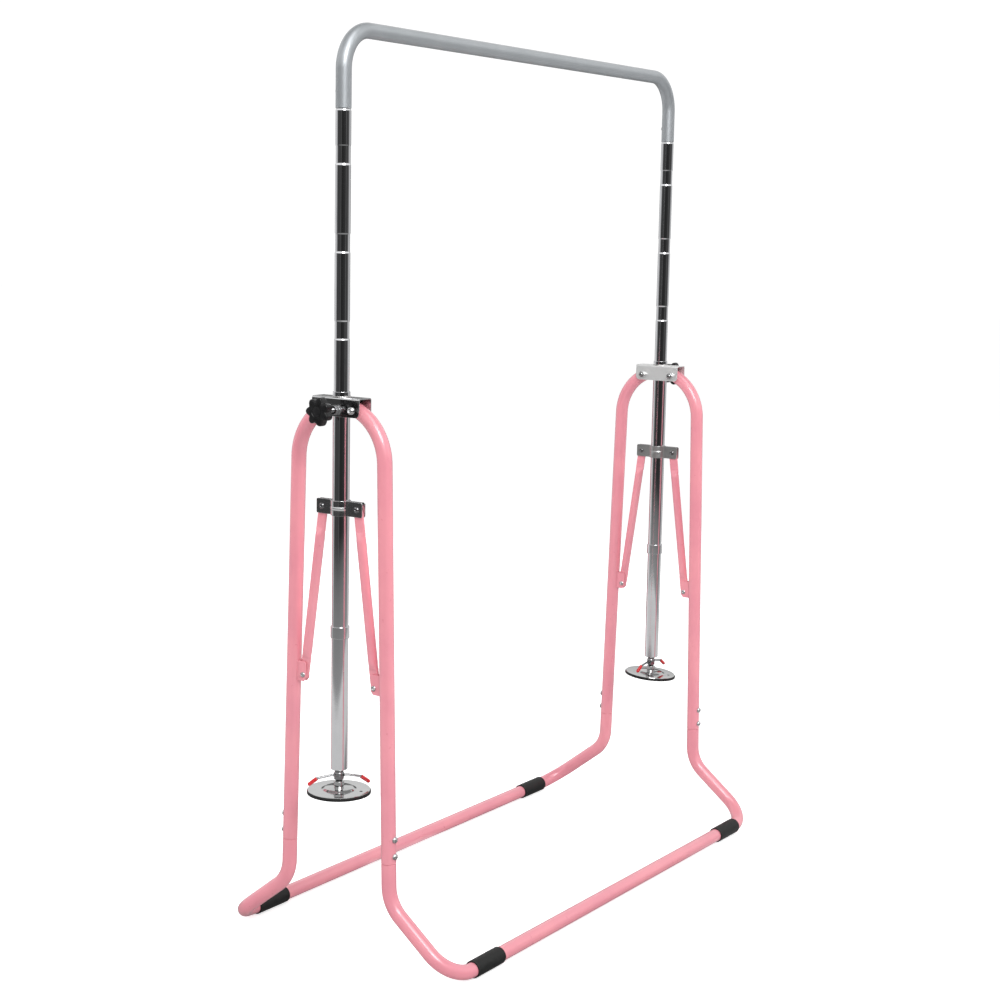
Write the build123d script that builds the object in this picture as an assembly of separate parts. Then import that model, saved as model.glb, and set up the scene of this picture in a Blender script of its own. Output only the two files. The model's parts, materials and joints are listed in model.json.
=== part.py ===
from build123d import *
import math
import os

# Folding kip bar: a height-adjustable horizontal bar on two posts, carried by a
# front and a rear half frame that hinge on a bracket on each post.
# Millimetres. X runs along the bar, -Y is the front, +Z is up.
# The origin is on the floor, midway between the posts and the two floor bars.

# ---------------------------------------------------------------- main sizes
POST_X = 586.0            # post axis from the centre
FLOOR_BAR_Y = 265.5       # floor bar axis from the centre, folded to stand
FLOOR_BAR_Z = 16.5        # floor bar axis height (the rubber sleeves carry it)
BAR_Z = 1711.5            # grip bar axis height, highest setting
BAR_CORNER_R = 72.0       # centreline radius of the bar's corners
SEAM_Z = 1571.0           # joint between the grip bar and the inner tubes

# ---------------------------------------------------------------- tube sizes
TUBE_D = 28.0             # legs, floor bars and inner tubes
TUBE_WALL = 1.5
BAR_D = 28.4              # grip bar
BAR_WALL = 2.0
POST_D = 31.5             # outer posts
POST_BORE_D = 28.7        # 0.35 mm clear round the inner tube
SLEEVE_D = 33.0           # rubber sleeves on the floor bars
SLEEVE_L = 88.0
SLEEVE_X = 478.0
BRACE_D = 18.0
BRACE_BORE_D = 15.0
BRACE_FLAT_T = 5.0
BRACE_FLAT_W = 20.0

# ---------------------------------------------------------------- posts
POST_TOP_Z = 1069.0
POST_JOINT_Z = 625.5      # upper and lower post meet inside the stop ring
POST_BOTTOM_Z = 365.0
RING_D = 35.5
RING_H = 22.0
PLUG_H = 26.0
INNER_BOTTOM_Z = 877.0
WAIST_D = 26.5
WAIST_L = 33.0
WAIST_Z = (1490.0, 1335.0, 1180.0, 1025.0)

# ---------------------------------------------------------------- bracket
BR_HALF_Y = 54.5
BR_HALF_X = 18.0
BR_T = 2.0
BR_TOP_Z = 1060.0
BR_BOTTOM_Z = 1025.0
PIVOT_Y = 36.5
PIVOT_Z = 1037.5
PIVOT_D = 8.0
KNOB_Z = 1037.0
KNOB_STEM_D = 10.0

# ---------------------------------------------------------------- legs
LEG_Y = 119.0             # leg axis at the seam
LEG_SEAM_Z = 207.0
LEG_SPLAY = 1.447         # degrees
LEG_ARC_R = 104.0
LEG_STUB = 12.0           # tube past the pivot
SPIGOT_D = 24.9
SPIGOT_L = 62.0
SPIGOT_WALL = 1.7
LEG_BOLT_D = 6.0
LEG_BOLTS_UP = (15.0, 47.0)
FOOT_SLOPE = 38.0         # degrees, run from the leg to the floor bar
FOOT_BEND_R = 72.0
FLOOR_CORNER_R = 62.0

# ---------------------------------------------------------------- linkage
LUG_PIN_Y = 84.1
LUG_PIN_Z = 532.5
LUG_PIN_D = 6.0
LUG_EAR_T = 2.5
LUG_GAP = 6.2
COLLAR_Z = 857.0
COLLAR_H = 27.5
COLLAR_RIVET_Y = 40.8
COLLAR_BORE_R = 16.1
COLLAR_T = 2.5
COLLAR_HALF_Y = 53.0

# ---------------------------------------------------------------- feet
STUD_D = 10.0
BALL_D = 14.0
BALL_Z = 336.0
PAD_D = 120.0
PAD_BOTTOM_Z = 319.0
PAD_T = 5.5
PLATE_D = 117.0
PLATE_T = 1.5
HUB_Z = (345.0, 363.0)
HANDLE_D = 4.5
HANDLE_Z = 353.0
HANDLE_AZ = {-1: 138.0, 1: 176.0}     # how each handle happens to be turned
CUP_TILT = {-1: 0.0, 1: 4.8}          # the right foot hangs a little askew
TILT_DIR = (0.4885, -0.8725)          # the side that hangs lower

RUN = 0.06                # radial clearance of a running fit
SIDES = {"left": -1, "right": 1}
ENDS = {"front": -1, "rear": 1}

os.makedirs("parts", exist_ok=True)


def save(name, *solids):
    flat = []
    for s in solids:
        flat.extend(s.solids())
    shape = flat[0] if len(flat) == 1 else Compound(children=flat)
    shape.label = name
    export_step(shape, "parts/" + name + ".step")


def cyl(p, q, d):
    p, q = Vector(*p), Vector(*q)
    v = q - p
    return Plane(origin=p, z_dir=v) * Cylinder(d / 2, v.length, align=(Align.CENTER, Align.CENTER, Align.MIN))


def hexa(p, q, flats):
    p, q = Vector(*p), Vector(*q)
    v = q - p
    pl = Plane(origin=p, z_dir=v)
    return extrude(pl * RegularPolygon(flats / 2, 6, major_radius=False), v.length, dir=v.normalized())


def swept(path, d):
    return sweep(Plane(origin=path @ 0, z_dir=path % 0) * Circle(d / 2), path=path)


def box(lo, hi):
    return Pos(*[(a + b) / 2 for a, b in zip(lo, hi)]) * Box(*[b - a for a, b in zip(lo, hi)])


# ---------------------------------------------------------------- leg line
th = math.radians(LEG_SPLAY)
UP = (-math.sin(th), math.cos(th))           # (Y, Z) for the rear leg, going up
IN = (-math.cos(th), -math.sin(th))
_q = (PIVOT_Y - LEG_Y, PIVOT_Z - LEG_SEAM_Z)
_a = _q[0] * UP[0] + _q[1] * UP[1]
_b = _q[0] * IN[0] + _q[1] * IN[1]
_t = _a - math.sqrt(LEG_ARC_R ** 2 - (_b - LEG_ARC_R) ** 2)
ARC_START = (LEG_Y + _t * UP[0], LEG_SEAM_Z + _t * UP[1])
ARC_CENTRE = (ARC_START[0] + LEG_ARC_R * IN[0], ARC_START[1] + LEG_ARC_R * IN[1])
_phi = math.atan2(PIVOT_Z - ARC_CENTRE[1], PIVOT_Y - ARC_CENTRE[0])
_mid = (th + _phi) / 2
ARC_MID = (ARC_CENTRE[0] + LEG_ARC_R * math.cos(_mid), ARC_CENTRE[1] + LEG_ARC_R * math.sin(_mid))
LEG_TIP = (PIVOT_Y - LEG_STUB * math.sin(_phi), PIVOT_Z + LEG_STUB * math.cos(_phi))


def leg_y(z):
    return LEG_Y + (LEG_SEAM_Z - z) * math.tan(th)


# ---------------------------------------------------------------- grip bar and inner tubes
def bar_path():
    return FilletPolyline(
        (-POST_X, 0, SEAM_Z), (-POST_X, 0, BAR_Z), (POST_X, 0, BAR_Z), (POST_X, 0, SEAM_Z), radius=BAR_CORNER_R
    )


SCREW_Z = SEAM_Z + 30.0
top_bar = swept(bar_path(), BAR_D) - swept(bar_path(), BAR_D - 2 * BAR_WALL)
for s in SIDES.values():
    top_bar -= cyl((s * POST_X, 0, SCREW_Z), (s * POST_X, 30, SCREW_Z), 5.1)
save("top_bar", top_bar)


def inner_tube(s):
    r, w = TUBE_D / 2, WAIST_D / 2
    pts = [(12.5, INNER_BOTTOM_Z), (r, INNER_BOTTOM_Z)]
    for z in sorted(WAIST_Z):
        a, b = z - WAIST_L / 2, z + WAIST_L / 2
        pts += [(r, a), (w, a + 1.2), (w, b - 1.2), (r, b)]
    sp = BAR_D / 2 - BAR_WALL - 0.05
    pts += [(r, SEAM_Z), (sp, SEAM_Z), (sp, SEAM_Z + 45), (10.6, SEAM_Z + 45), (10.6, SEAM_Z - 20), (12.5, SEAM_Z - 24)]
    prof = make_face(Plane.XZ * Polyline(*pts, close=True))
    t = Pos(s * POST_X, 0, 0) * revolve(prof, Axis.Z)
    return t - cyl((s * POST_X, 0, SCREW_Z), (s * POST_X, 30, SCREW_Z), 5.1)


def bar_screw(s):
    x = s * POST_X
    shank = cyl((x, 9.5, SCREW_Z), (x, BAR_D / 2 + 0.4, SCREW_Z), 5.0)
    head = cyl((x, BAR_D / 2 + 0.1, SCREW_Z), (x, BAR_D / 2 + 2.8, SCREW_Z), 9.0)
    return shank + head


def inner_plug(s):
    x = s * POST_X
    return cyl((x, 0, INNER_BOTTOM_Z - 4), (x, 0, INNER_BOTTOM_Z), 27.4) + cyl(
        (x, 0, INNER_BOTTOM_Z), (x, 0, INNER_BOTTOM_Z + 16), 24.9)


for n, s in SIDES.items():
    save("inner_tube_" + n, inner_tube(s))
save("bar_screws", *[bar_screw(s) for s in SIDES.values()])
save("inner_tube_plugs", *[inner_plug(s) for s in SIDES.values()])


# ---------------------------------------------------------------- posts, rings, brackets
def ring_tube(x, z0, z1, od, bore):
    return cyl((x, 0, z0), (x, 0, z1), od) - cyl((x, 0, z0 - 1), (x, 0, z1 + 1), bore)


def bracket(s):
    x = s * POST_X
    b = box((x - BR_HALF_X, -BR_HALF_Y, BR_BOTTOM_Z), (x + BR_HALF_X, BR_HALF_Y, BR_TOP_Z))
    b = fillet(b.edges().filter_by(Axis.Y).group_by(Axis.Z)[-1], 3.0)
    b -= box((x - BR_HALF_X + BR_T, -BR_HALF_Y - 1, BR_BOTTOM_Z - 1), (x + BR_HALF_X - BR_T, BR_HALF_Y + 1, BR_TOP_Z - BR_T))
    low = b.edges().filter_by(Axis.X).filter_by(lambda e: e.center().Z < BR_BOTTOM_Z + 0.1)
    b = fillet(low, 9.0)
    b -= cyl((x, 0, BR_TOP_Z - 10), (x, 0, BR_TOP_Z + 10), POST_D + 0.1)
    for y in (-PIVOT_Y, PIVOT_Y):
        b -= cyl((x - 30, y, PIVOT_Z), (x + 30, y, PIVOT_Z), PIVOT_D + 0.2)
    b -= cyl((x, 0, KNOB_Z), (x + s * 30, 0, KNOB_Z), KNOB_STEM_D + 0.8)
    return b


def pivot_bolt(s, e):
    x, y = s * POST_X, e * PIVOT_Y
    head = cyl((x + s * BR_HALF_X, y, PIVOT_Z), (x + s * (BR_HALF_X + 5.5), y, PIVOT_Z), 13.5)
    head = fillet(head.edges().filter_by(lambda q: abs(q.center().X) > POST_X + BR_HALF_X + 5), 2.5)
    return head + cyl((x + s * (BR_HALF_X + 1), y, PIVOT_Z), (x - s * (BR_HALF_X + 10), y, PIVOT_Z), PIVOT_D)


def pivot_nut(s, e):
    x, y = s * POST_X, e * PIVOT_Y
    p, q = (x - s * BR_HALF_X, y, PIVOT_Z), (x - s * (BR_HALF_X + 7), y, PIVOT_Z)
    return hexa(p, q, 13.0) - cyl((x, y, PIVOT_Z), (x - s * 60, y, PIVOT_Z), PIVOT_D + 0.04)


def knob_boss(s):
    x = s * POST_X
    p, q = (x + s * BR_HALF_X, 0, KNOB_Z), (x + s * (BR_HALF_X + 8), 0, KNOB_Z)
    return hexa(p, q, 17.0) - cyl((x, 0, KNOB_Z), (x + s * 60, 0, KNOB_Z), KNOB_STEM_D + 2 * RUN)


def post_plug(s):
    x = s * POST_X
    p = cyl((x, 0, POST_BOTTOM_Z), (x, 0, POST_BOTTOM_Z + PLUG_H), POST_BORE_D)
    return p - cyl((x, 0, 300), (x, 0, 500), STUD_D + 2 * RUN)


for n, s in SIDES.items():
    x = s * POST_X
    up = ring_tube(x, POST_JOINT_Z, POST_TOP_Z, POST_D, POST_BORE_D)
    up -= cyl((x, 0, KNOB_Z), (x + s * 30, 0, KNOB_Z), KNOB_STEM_D + 0.8)
    save("post_upper_" + n, up)
    save("post_lower_" + n, ring_tube(x, POST_BOTTOM_Z, POST_JOINT_Z, POST_D, POST_BORE_D))
    ring = ring_tube(x, POST_JOINT_Z - RING_H / 2, POST_JOINT_Z + RING_H / 2, RING_D, POST_D + 0.04)
    save("stop_ring_" + n, chamfer(ring.edges().filter_by(lambda q: q.geom_type == GeomType.CIRCLE and q.radius > 17), 0.8))
    save("bracket_" + n, bracket(s))
save("pivot_bolts", *[pivot_bolt(s, e) for s in SIDES.values() for e in ENDS.values()])
save("pivot_nuts", *[pivot_nut(s, e) for s in SIDES.values() for e in ENDS.values()])
save("knob_boss_nuts", *[knob_boss(s) for s in SIDES.values()])
save("post_end_plugs", *[post_plug(s) for s in SIDES.values()])


# ---------------------------------------------------------------- clamp knobs
def knob(s):
    x = s * POST_X
    base = Plane(origin=(x + s * 53, 0, KNOB_Z), x_dir=(0, 1, 0), z_dir=(s, 0, 0))
    star = Circle(20.5)
    for i in range(7):
        star += PolarLocations(19.0, 1, start_angle=360.0 / 7 * i) * Circle(7.5)
    body = extrude(base * star, 18, dir=(s, 0, 0))
    body = chamfer(body.faces().sort_by(Axis.X)[-1 if s > 0 else 0].edges(), 1.2)
    hub = cyl((x + s * 41, 0, KNOB_Z), (x + s * 54, 0, KNOB_Z), 21.0)
    return (body + hub) - cyl((x + s * 40, 0, KNOB_Z), (x + s * 62, 0, KNOB_Z), KNOB_STEM_D + 0.02)


def knob_stem(s):
    x = s * POST_X
    return cyl((x + s * 14.5, 0, KNOB_Z), (x + s * 62, 0, KNOB_Z), KNOB_STEM_D)


for n, s in SIDES.items():
    save("knob_" + n, knob(s))
    save("knob_screw_" + n, knob_stem(s))


# ---------------------------------------------------------------- half frames
def leg_path(s, e):
    x = s * POST_X
    p = lambda v: (x, e * v[0], v[1])
    return Line(p((LEG_Y, LEG_SEAM_Z)), p(ARC_START)) + ThreePointArc(p(ARC_START), p(ARC_MID), p((PIVOT_Y, PIVOT_Z))) + Line(
        p((PIVOT_Y, PIVOT_Z)), p(LEG_TIP))


def bolt_spots(e):
    for up in LEG_BOLTS_UP:
        z = LEG_SEAM_Z + up * math.cos(th)
        yield e * leg_y(z), z


def leg(s, e):
    x = s * POST_X
    path = leg_path(s, e)
    t = swept(path, TUBE_D) - swept(path, TUBE_D - 2 * TUBE_WALL)
    t -= cyl((x - 30, e * PIVOT_Y, PIVOT_Z), (x + 30, e * PIVOT_Y, PIVOT_Z), PIVOT_D + 2 * RUN)
    for y, z in bolt_spots(e):
        t -= cyl((x, y, z), (x, y + e * 25, z), LEG_BOLT_D + 0.4)
    return t


_m = math.tan(math.radians(FOOT_SLOPE))
_tt = math.tan(th)
BEND_Z = (FLOOR_BAR_Z + (FLOOR_BAR_Y - LEG_Y - LEG_SEAM_Z * _tt) * _m) / (1 - _tt * _m)
BEND_Y = leg_y(BEND_Z)


def base_tube(e):
    pts = [
        (-POST_X, e * LEG_Y, LEG_SEAM_Z), (-POST_X, e * BEND_Y, BEND_Z), (-POST_X, e * FLOOR_BAR_Y, FLOOR_BAR_Z),
        (POST_X, e * FLOOR_BAR_Y, FLOOR_BAR_Z), (POST_X, e * BEND_Y, BEND_Z), (POST_X, e * LEG_Y, LEG_SEAM_Z),
    ]
    path = FilletPolyline(*pts, radius=[FOOT_BEND_R, FLOOR_CORNER_R, FLOOR_CORNER_R, FOOT_BEND_R])
    t = swept(path, TUBE_D) - swept(path, TUBE_D - 2 * TUBE_WALL)
    for s in SIDES.values():
        x = s * POST_X
        at = lambda k: (x, e * (LEG_Y + k * UP[0]), LEG_SEAM_Z + k * UP[1])
        sp = cyl(at(-18), at(SPIGOT_L), SPIGOT_D) + cyl(at(-18), at(-1), TUBE_D - 2 * TUBE_WALL + 0.6)
        sp -= cyl(at(-20), at(SPIGOT_L + 2), SPIGOT_D - 2 * SPIGOT_WALL)
        for y, z in bolt_spots(e):
            sp -= cyl((x, y, z), (x, y + e * 25, z), LEG_BOLT_D + 0.4)
        t += sp
    return t


def sleeve(s, e):
    x, y = s * SLEEVE_X, e * FLOOR_BAR_Y
    a, b = x - SLEEVE_L / 2, x + SLEEVE_L / 2
    body = cyl((a, y, FLOOR_BAR_Z), (b, y, FLOOR_BAR_Z), SLEEVE_D)
    body = fillet(body.edges().filter_by(GeomType.CIRCLE), 1.2)
    return body - cyl((a - 1, y, FLOOR_BAR_Z), (b + 1, y, FLOOR_BAR_Z), TUBE_D + 0.02)


def leg_bolts(s, e):
    out = []
    x = s * POST_X
    for y, z in bolt_spots(e):
        face = y + e * (TUBE_D / 2 + 0.3)
        head = cyl((x, face, z), (x, face + e * 4.0, z), 11.0)
        head = fillet(head.edges().filter_by(lambda q: abs(q.center().Y) > abs(face) + 3), 2.5)
        out.append(head + cyl((x, y + e * 3.0, z), (x, face + e * 1, z), LEG_BOLT_D))
    return out


def leg_nuts(s, e):
    x = s * POST_X
    out = []
    for y, z in bolt_spots(e):
        n = hexa((x, y + e * 4.0, z), (x, y + e * 9.0, z), 9.0)
        out.append(n - cyl((x, y, z), (x, y + e * 20, z), LEG_BOLT_D + 0.04))
    return out


def lug(s, e):
    x = s * POST_X
    z0, z1 = LUG_PIN_Z - 12.5, LUG_PIN_Z + 25.5
    half = LUG_GAP / 2 + LUG_EAR_T
    inner = LUG_PIN_Y - 7.0
    outer = leg_y(LUG_PIN_Z) - 6.0
    ys = sorted((e * inner, e * outer))
    u = box((x - half, ys[0], z0), (x + half, ys[1], z1))
    tip = u.edges().filter_by(Axis.X).filter_by(lambda q: abs(abs(q.center().Y) - inner) < 0.1)
    u = fillet(tip, 6.0)
    web = leg_y(LUG_PIN_Z) - TUBE_D / 2 - 2.2
    gap = sorted((e * (inner - 2), e * web))
    u -= box((x - LUG_GAP / 2, gap[0], z0 - 1), (x + LUG_GAP / 2, gap[1], z1 + 1))
    at = lambda z: (x, e * leg_y(z), z)
    u -= cyl(at(z0 - 20), at(z1 + 20), TUBE_D + 0.1)
    u -= cyl((x - 30, e * LUG_PIN_Y, LUG_PIN_Z), (x + 30, e * LUG_PIN_Y, LUG_PIN_Z), LUG_PIN_D + 0.04)
    return u


def lug_rivet(s, e):
    x, y, z = s * POST_X, e * LUG_PIN_Y, LUG_PIN_Z
    half = LUG_GAP / 2 + LUG_EAR_T
    r = cyl((x - half - 0.5, y, z), (x + half + 0.5, y, z), LUG_PIN_D)
    for k in (-1, 1):
        h = cyl((x + k * half, y, z), (x + k * (half + 3.0), y, z), 11.0)
        r += fillet(h.edges().filter_by(lambda q: abs(q.center().X - x) > half + 2), 2.0)
    return r


for en, e in ENDS.items():
    for n, s in SIDES.items():
        save(en + "_leg_" + n, leg(s, e))
    save(en + "_floor_bar", base_tube(e))
    save(en + "_floor_sleeves", *[sleeve(s, e) for s in SIDES.values()])
    save(en + "_leg_bolts", *[b for s in SIDES.values() for b in leg_bolts(s, e)])
    save(en + "_leg_nuts", *[b for s in SIDES.values() for b in leg_nuts(s, e)])
    save(en + "_brace_lugs", *[lug(s, e) for s in SIDES.values()])
    save(en + "_lug_rivets", *[lug_rivet(s, e) for s in SIDES.values()])


# ---------------------------------------------------------------- sliding collars
def collar_half(s, k):
    """k = +1 for the half on the outer side of the post, -1 for the inner side."""
    x = s * POST_X
    side = s * k
    ro = COLLAR_BORE_R + COLLAR_T
    a, b = LUG_GAP / 2, LUG_GAP / 2 + COLLAR_T
    sk = Circle(ro)
    sk += Pos((a + b) / 2, 0) * Rectangle(b - a, 2 * COLLAR_HALF_Y)
    sk -= Circle(COLLAR_BORE_R)
    sk -= Pos(a - 50, 0) * Rectangle(100, 200)
    if side < 0:
        sk = sk.mirror(Plane.YZ)
    body = extrude(Pos(x, 0, COLLAR_Z - COLLAR_H / 2) * sk, COLLAR_H, dir=(0, 0, 1))
    tips = body.edges().filter_by(Axis.X).filter_by(lambda q: abs(q.center().Y) > COLLAR_HALF_Y - 0.5)
    body = fillet(tips, 3.0)
    for y in (-COLLAR_RIVET_Y, COLLAR_RIVET_Y):
        body -= cyl((x - 30, y, COLLAR_Z), (x + 30, y, COLLAR_Z), LUG_PIN_D + 0.04)
    return body


def collar_rivets(s):
    x = s * POST_X
    out = []
    a, b = LUG_GAP / 2, LUG_GAP / 2 + COLLAR_T
    for y in (-COLLAR_RIVET_Y, COLLAR_RIVET_Y):
        for k in (-1, 1):
            h = cyl((x + k * b, y, COLLAR_Z), (x + k * (b + 3.0), y, COLLAR_Z), 11.0)
            h = fillet(h.edges().filter_by(lambda q: abs(q.center().X - x) > b + 2), 2.0)
            out.append(h + cyl((x + k * (a + 0.2), y, COLLAR_Z), (x + k * (b + 1), y, COLLAR_Z), LUG_PIN_D))
    return out


for n, s in SIDES.items():
    save("collar_outer_" + n, collar_half(s, 1))
    save("collar_inner_" + n, collar_half(s, -1))
    save("collar_rivets_" + n, *collar_rivets(s))


# ---------------------------------------------------------------- braces
BRACE_L = math.hypot(LUG_PIN_Y - COLLAR_RIVET_Y, COLLAR_Z - LUG_PIN_Z)
FLAT_RUN = 29.0
FLAT_RUN_TOP = 39.0  # clears the collar's wings over the whole fold
BLEND_RUN = 20.0


def brace_local():
    t, w, L = BRACE_FLAT_T, BRACE_FLAT_W, BRACE_L
    # local Z along the brace from the lug pin, local X across the flats
    def flat(z_pin, sgn, run):
        tip_r = 8.5
        prof = Plane.YZ * (
            Pos(0, z_pin) * Circle(tip_r)
            + Pos(0, z_pin + sgn * (run / 2 + 3)) * Rectangle(w, run - 6)
            + make_face(Polyline((-tip_r, z_pin), (tip_r, z_pin), (w / 2, z_pin + sgn * 8), (-w / 2, z_pin + sgn * 8), close=True))
        )
        return extrude(prof, t / 2, both=True)

    def blend(z_a, z_b):
        a = Plane.XY.offset(z_a) * RectangleRounded(t, w, 2.2)
        b = Plane.XY.offset(z_b) * Circle(BRACE_D / 2)
        return loft([a, b] if z_b > z_a else [b, a])

    body = Pos(0, 0, FLAT_RUN + BLEND_RUN) * Cylinder(
        BRACE_D / 2, L - FLAT_RUN - FLAT_RUN_TOP - 2 * BLEND_RUN, align=(Align.CENTER, Align.CENTER, Align.MIN))
    body += flat(0, 1, FLAT_RUN) + flat(L, -1, FLAT_RUN_TOP)
    body += blend(FLAT_RUN, FLAT_RUN + BLEND_RUN)
    body += blend(L - FLAT_RUN_TOP, L - FLAT_RUN_TOP - BLEND_RUN)
    c0, c1 = FLAT_RUN + BLEND_RUN - 2, L - FLAT_RUN_TOP - BLEND_RUN + 2
    body -= Pos(0, 0, c0) * Cylinder(BRACE_BORE_D / 2, c1 - c0, align=(Align.CENTER, Align.CENTER, Align.MIN))
    for z in (c0 + 8, c1 - 8):
        body -= cyl((0, 0, z), (20, 0, z), 3.0)
    body -= cyl((-20, 0, 0), (20, 0, 0), LUG_PIN_D + 2 * RUN)
    body -= cyl((-20, 0, L), (20, 0, L), LUG_PIN_D + 2 * RUN)
    return body


BRACE = brace_local()
for en, e in ENDS.items():
    for n, s in SIDES.items():
        v = Vector(0, e * (COLLAR_RIVET_Y - LUG_PIN_Y), COLLAR_Z - LUG_PIN_Z)
        pl = Plane(origin=(s * POST_X, e * LUG_PIN_Y, LUG_PIN_Z), x_dir=(s, 0, 0), z_dir=v)
        save(en + "_brace_" + n, pl * BRACE)


# ---------------------------------------------------------------- suction feet
def stud(s):
    x = s * POST_X
    return cyl((x, 0, BALL_Z + 1), (x, 0, POST_BOTTOM_Z + 40), STUD_D) + Pos(x, 0, BALL_Z) * Sphere(BALL_D / 2)


def hub(s):
    x = s * POST_X
    z0, z1 = HUB_Z
    h = hexa((x, 0, z0), (x, 0, z0 + 8), 17.0) + cyl((x, 0, z0 + 7), (x, 0, z1), 19.0)
    h -= cyl((x, 0, z0 - 5), (x, 0, z1 + 5), STUD_D + 2 * RUN)
    for k in (0, 180):
        a = math.radians(HANDLE_AZ[s] + k)
        h -= cyl((x + 7 * math.cos(a), 7 * math.sin(a), HANDLE_Z), (x + 20 * math.cos(a), 20 * math.sin(a), HANDLE_Z), HANDLE_D + 0.04)
    return h


HANDLE_RZ = [(7.0, HANDLE_Z), (15.0, HANDLE_Z), (41.0, 348.5), (57.0, 337.0)]


def handle_arm(s, k):
    x = s * POST_X
    a = math.radians(HANDLE_AZ[s] + k)
    pts = [(x + r * math.cos(a), r * math.sin(a), z) for r, z in HANDLE_RZ]
    return swept(FilletPolyline(*pts, radius=[9.0, 6.0]), HANDLE_D)


def grip(s, k):
    x = s * POST_X
    a = math.radians(HANDLE_AZ[s] + k)
    (r0, z0), (r1, z1) = HANDLE_RZ[2:]
    d = math.hypot(r1 - r0, z1 - z0)
    f = lambda u: (x + (r0 + (r1 - r0) * u / d) * math.cos(a), (r0 + (r1 - r0) * u / d) * math.sin(a), z0 + (z1 - z0) * u / d)
    g = cyl(f(4.0), f(d + 1.5), 6.6)
    g = fillet(g.edges().filter_by(GeomType.CIRCLE).sort_by(Axis.Z)[:1], 2.0)
    return g - cyl(f(-5), f(d), HANDLE_D + 0.02)


def tilted(s, shape):
    if CUP_TILT[s] == 0:
        return shape
    ax = Axis((s * POST_X, 0, BALL_Z), (-TILT_DIR[1], TILT_DIR[0], 0))
    return shape.rotate(ax, CUP_TILT[s])


def plate(s):
    x = s * POST_X
    zt = PAD_BOTTOM_Z + PAD_T
    R = PLATE_D / 2
    t = PLATE_T
    pts = [
        (0, zt + 6.0), (12, zt + 6.0), (27, zt + 3.6), (32, zt), (R, zt), (R, zt + t),
        (33, zt + t), (28, zt + 3.6 + t), (12, zt + 7.8), (10, zt + 7.8), (10, BALL_Z + 6.0), (0, BALL_Z + 6.0),
    ]
    p = revolve(make_face(Plane.XZ * Polyline(*pts, close=True)), Axis.Z)
    p -= Pos(0, 0, BALL_Z) * Sphere(BALL_D / 2 + RUN)
    p -= Pos(0, 0, BALL_Z) * Cylinder(6.4, 20, align=(Align.CENTER, Align.CENTER, Align.MIN))
    p -= cyl((12.7, -42.5, zt - 5), (12.7, -42.5, zt + 10), 5.0)
    return tilted(s, Pos(x, 0, 0) * p)


def pad(s):
    x = s * POST_X
    zb, zt = PAD_BOTTOM_Z, PAD_BOTTOM_Z + PAD_T
    p = cyl((0, 0, zb), (0, 0, zt), PAD_D)
    p = fillet(p.edges().group_by(Axis.Z)[0], 1.5)
    p -= cyl((0, 0, zt - 2), (0, 0, zt + 1), 56)
    return tilted(s, Pos(x, 0, 0) * p)


for n, s in SIDES.items():
    save("foot_stud_" + n, stud(s))
    save("handle_hub_" + n, hub(s))
    save("handle_rods_" + n, *[handle_arm(s, k) for k in (0, 180)])
    save("handle_grips_" + n, *[grip(s, k) for k in (0, 180)])
    save("suction_plate_" + n, plate(s))
    save("suction_pad_" + n, pad(s))
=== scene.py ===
import json
import math

import bmesh
import bpy
import numpy as np
from mathutils import Matrix, Vector

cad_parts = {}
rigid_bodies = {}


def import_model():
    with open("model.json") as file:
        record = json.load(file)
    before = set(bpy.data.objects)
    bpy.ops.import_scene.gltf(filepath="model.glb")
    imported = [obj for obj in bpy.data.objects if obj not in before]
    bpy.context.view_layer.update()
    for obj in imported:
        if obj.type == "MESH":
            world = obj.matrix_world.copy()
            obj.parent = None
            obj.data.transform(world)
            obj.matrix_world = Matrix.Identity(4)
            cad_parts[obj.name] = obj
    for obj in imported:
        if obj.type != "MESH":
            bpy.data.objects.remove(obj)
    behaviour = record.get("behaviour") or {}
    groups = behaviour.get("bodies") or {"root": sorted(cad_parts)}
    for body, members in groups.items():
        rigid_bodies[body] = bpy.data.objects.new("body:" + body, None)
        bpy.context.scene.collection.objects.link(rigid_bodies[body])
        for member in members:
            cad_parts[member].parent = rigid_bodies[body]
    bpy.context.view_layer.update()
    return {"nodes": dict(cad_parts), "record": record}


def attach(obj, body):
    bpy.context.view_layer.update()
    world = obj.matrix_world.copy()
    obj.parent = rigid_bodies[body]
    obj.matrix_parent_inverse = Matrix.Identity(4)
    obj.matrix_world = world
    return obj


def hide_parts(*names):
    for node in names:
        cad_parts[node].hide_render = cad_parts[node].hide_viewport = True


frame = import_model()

NODES = frame["nodes"]
BODY = {n: b for b, ns in frame["record"]["behaviour"]["bodies"].items() for n in ns}
SLOT = {s["node"]: s["material_slot"] for s in frame["record"]["subparts"]}
MM = 0.001

# ------------------------------------------------------------------ sizes, as the CAD states them (mm)
POST_X, FLOOR_Y, FLOOR_Z, BAR_Z, BAR_R, SEAM_Z = 586.0, 265.5, 16.5, 1711.5, 72.0, 1571.0
TUBE_R, TUBE_IR, BAR_RAD, POST_R, POST_IR = 14.0, 12.5, 14.2, 15.75, 14.35
POST_TOP, POST_JOINT, POST_BOTTOM, INNER_BOTTOM = 1069.0, 625.5, 365.0, 877.0
WAISTS = (1490.0, 1335.0, 1180.0, 1025.0)
BR_Y, BR_X, BR_T, BR_TOP, BR_BOT = 54.5, 18.0, 2.0, 1060.0, 1025.0
PIV_Y, PIV_Z, KNOB_Z = 36.5, 1037.5, 1037.0
LEG_Y, LEG_SEAM, SPLAY, LEG_ARC, LEG_STUB = 119.0, 207.0, 1.447, 104.0, 12.0
FOOT_SLOPE, FOOT_BEND, FLOOR_CORNER = 38.0, 72.0, 62.0
LUG_Y, LUG_Z, LUG_GAP, LUG_EAR = 84.1, 532.5, 6.2, 2.5
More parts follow.
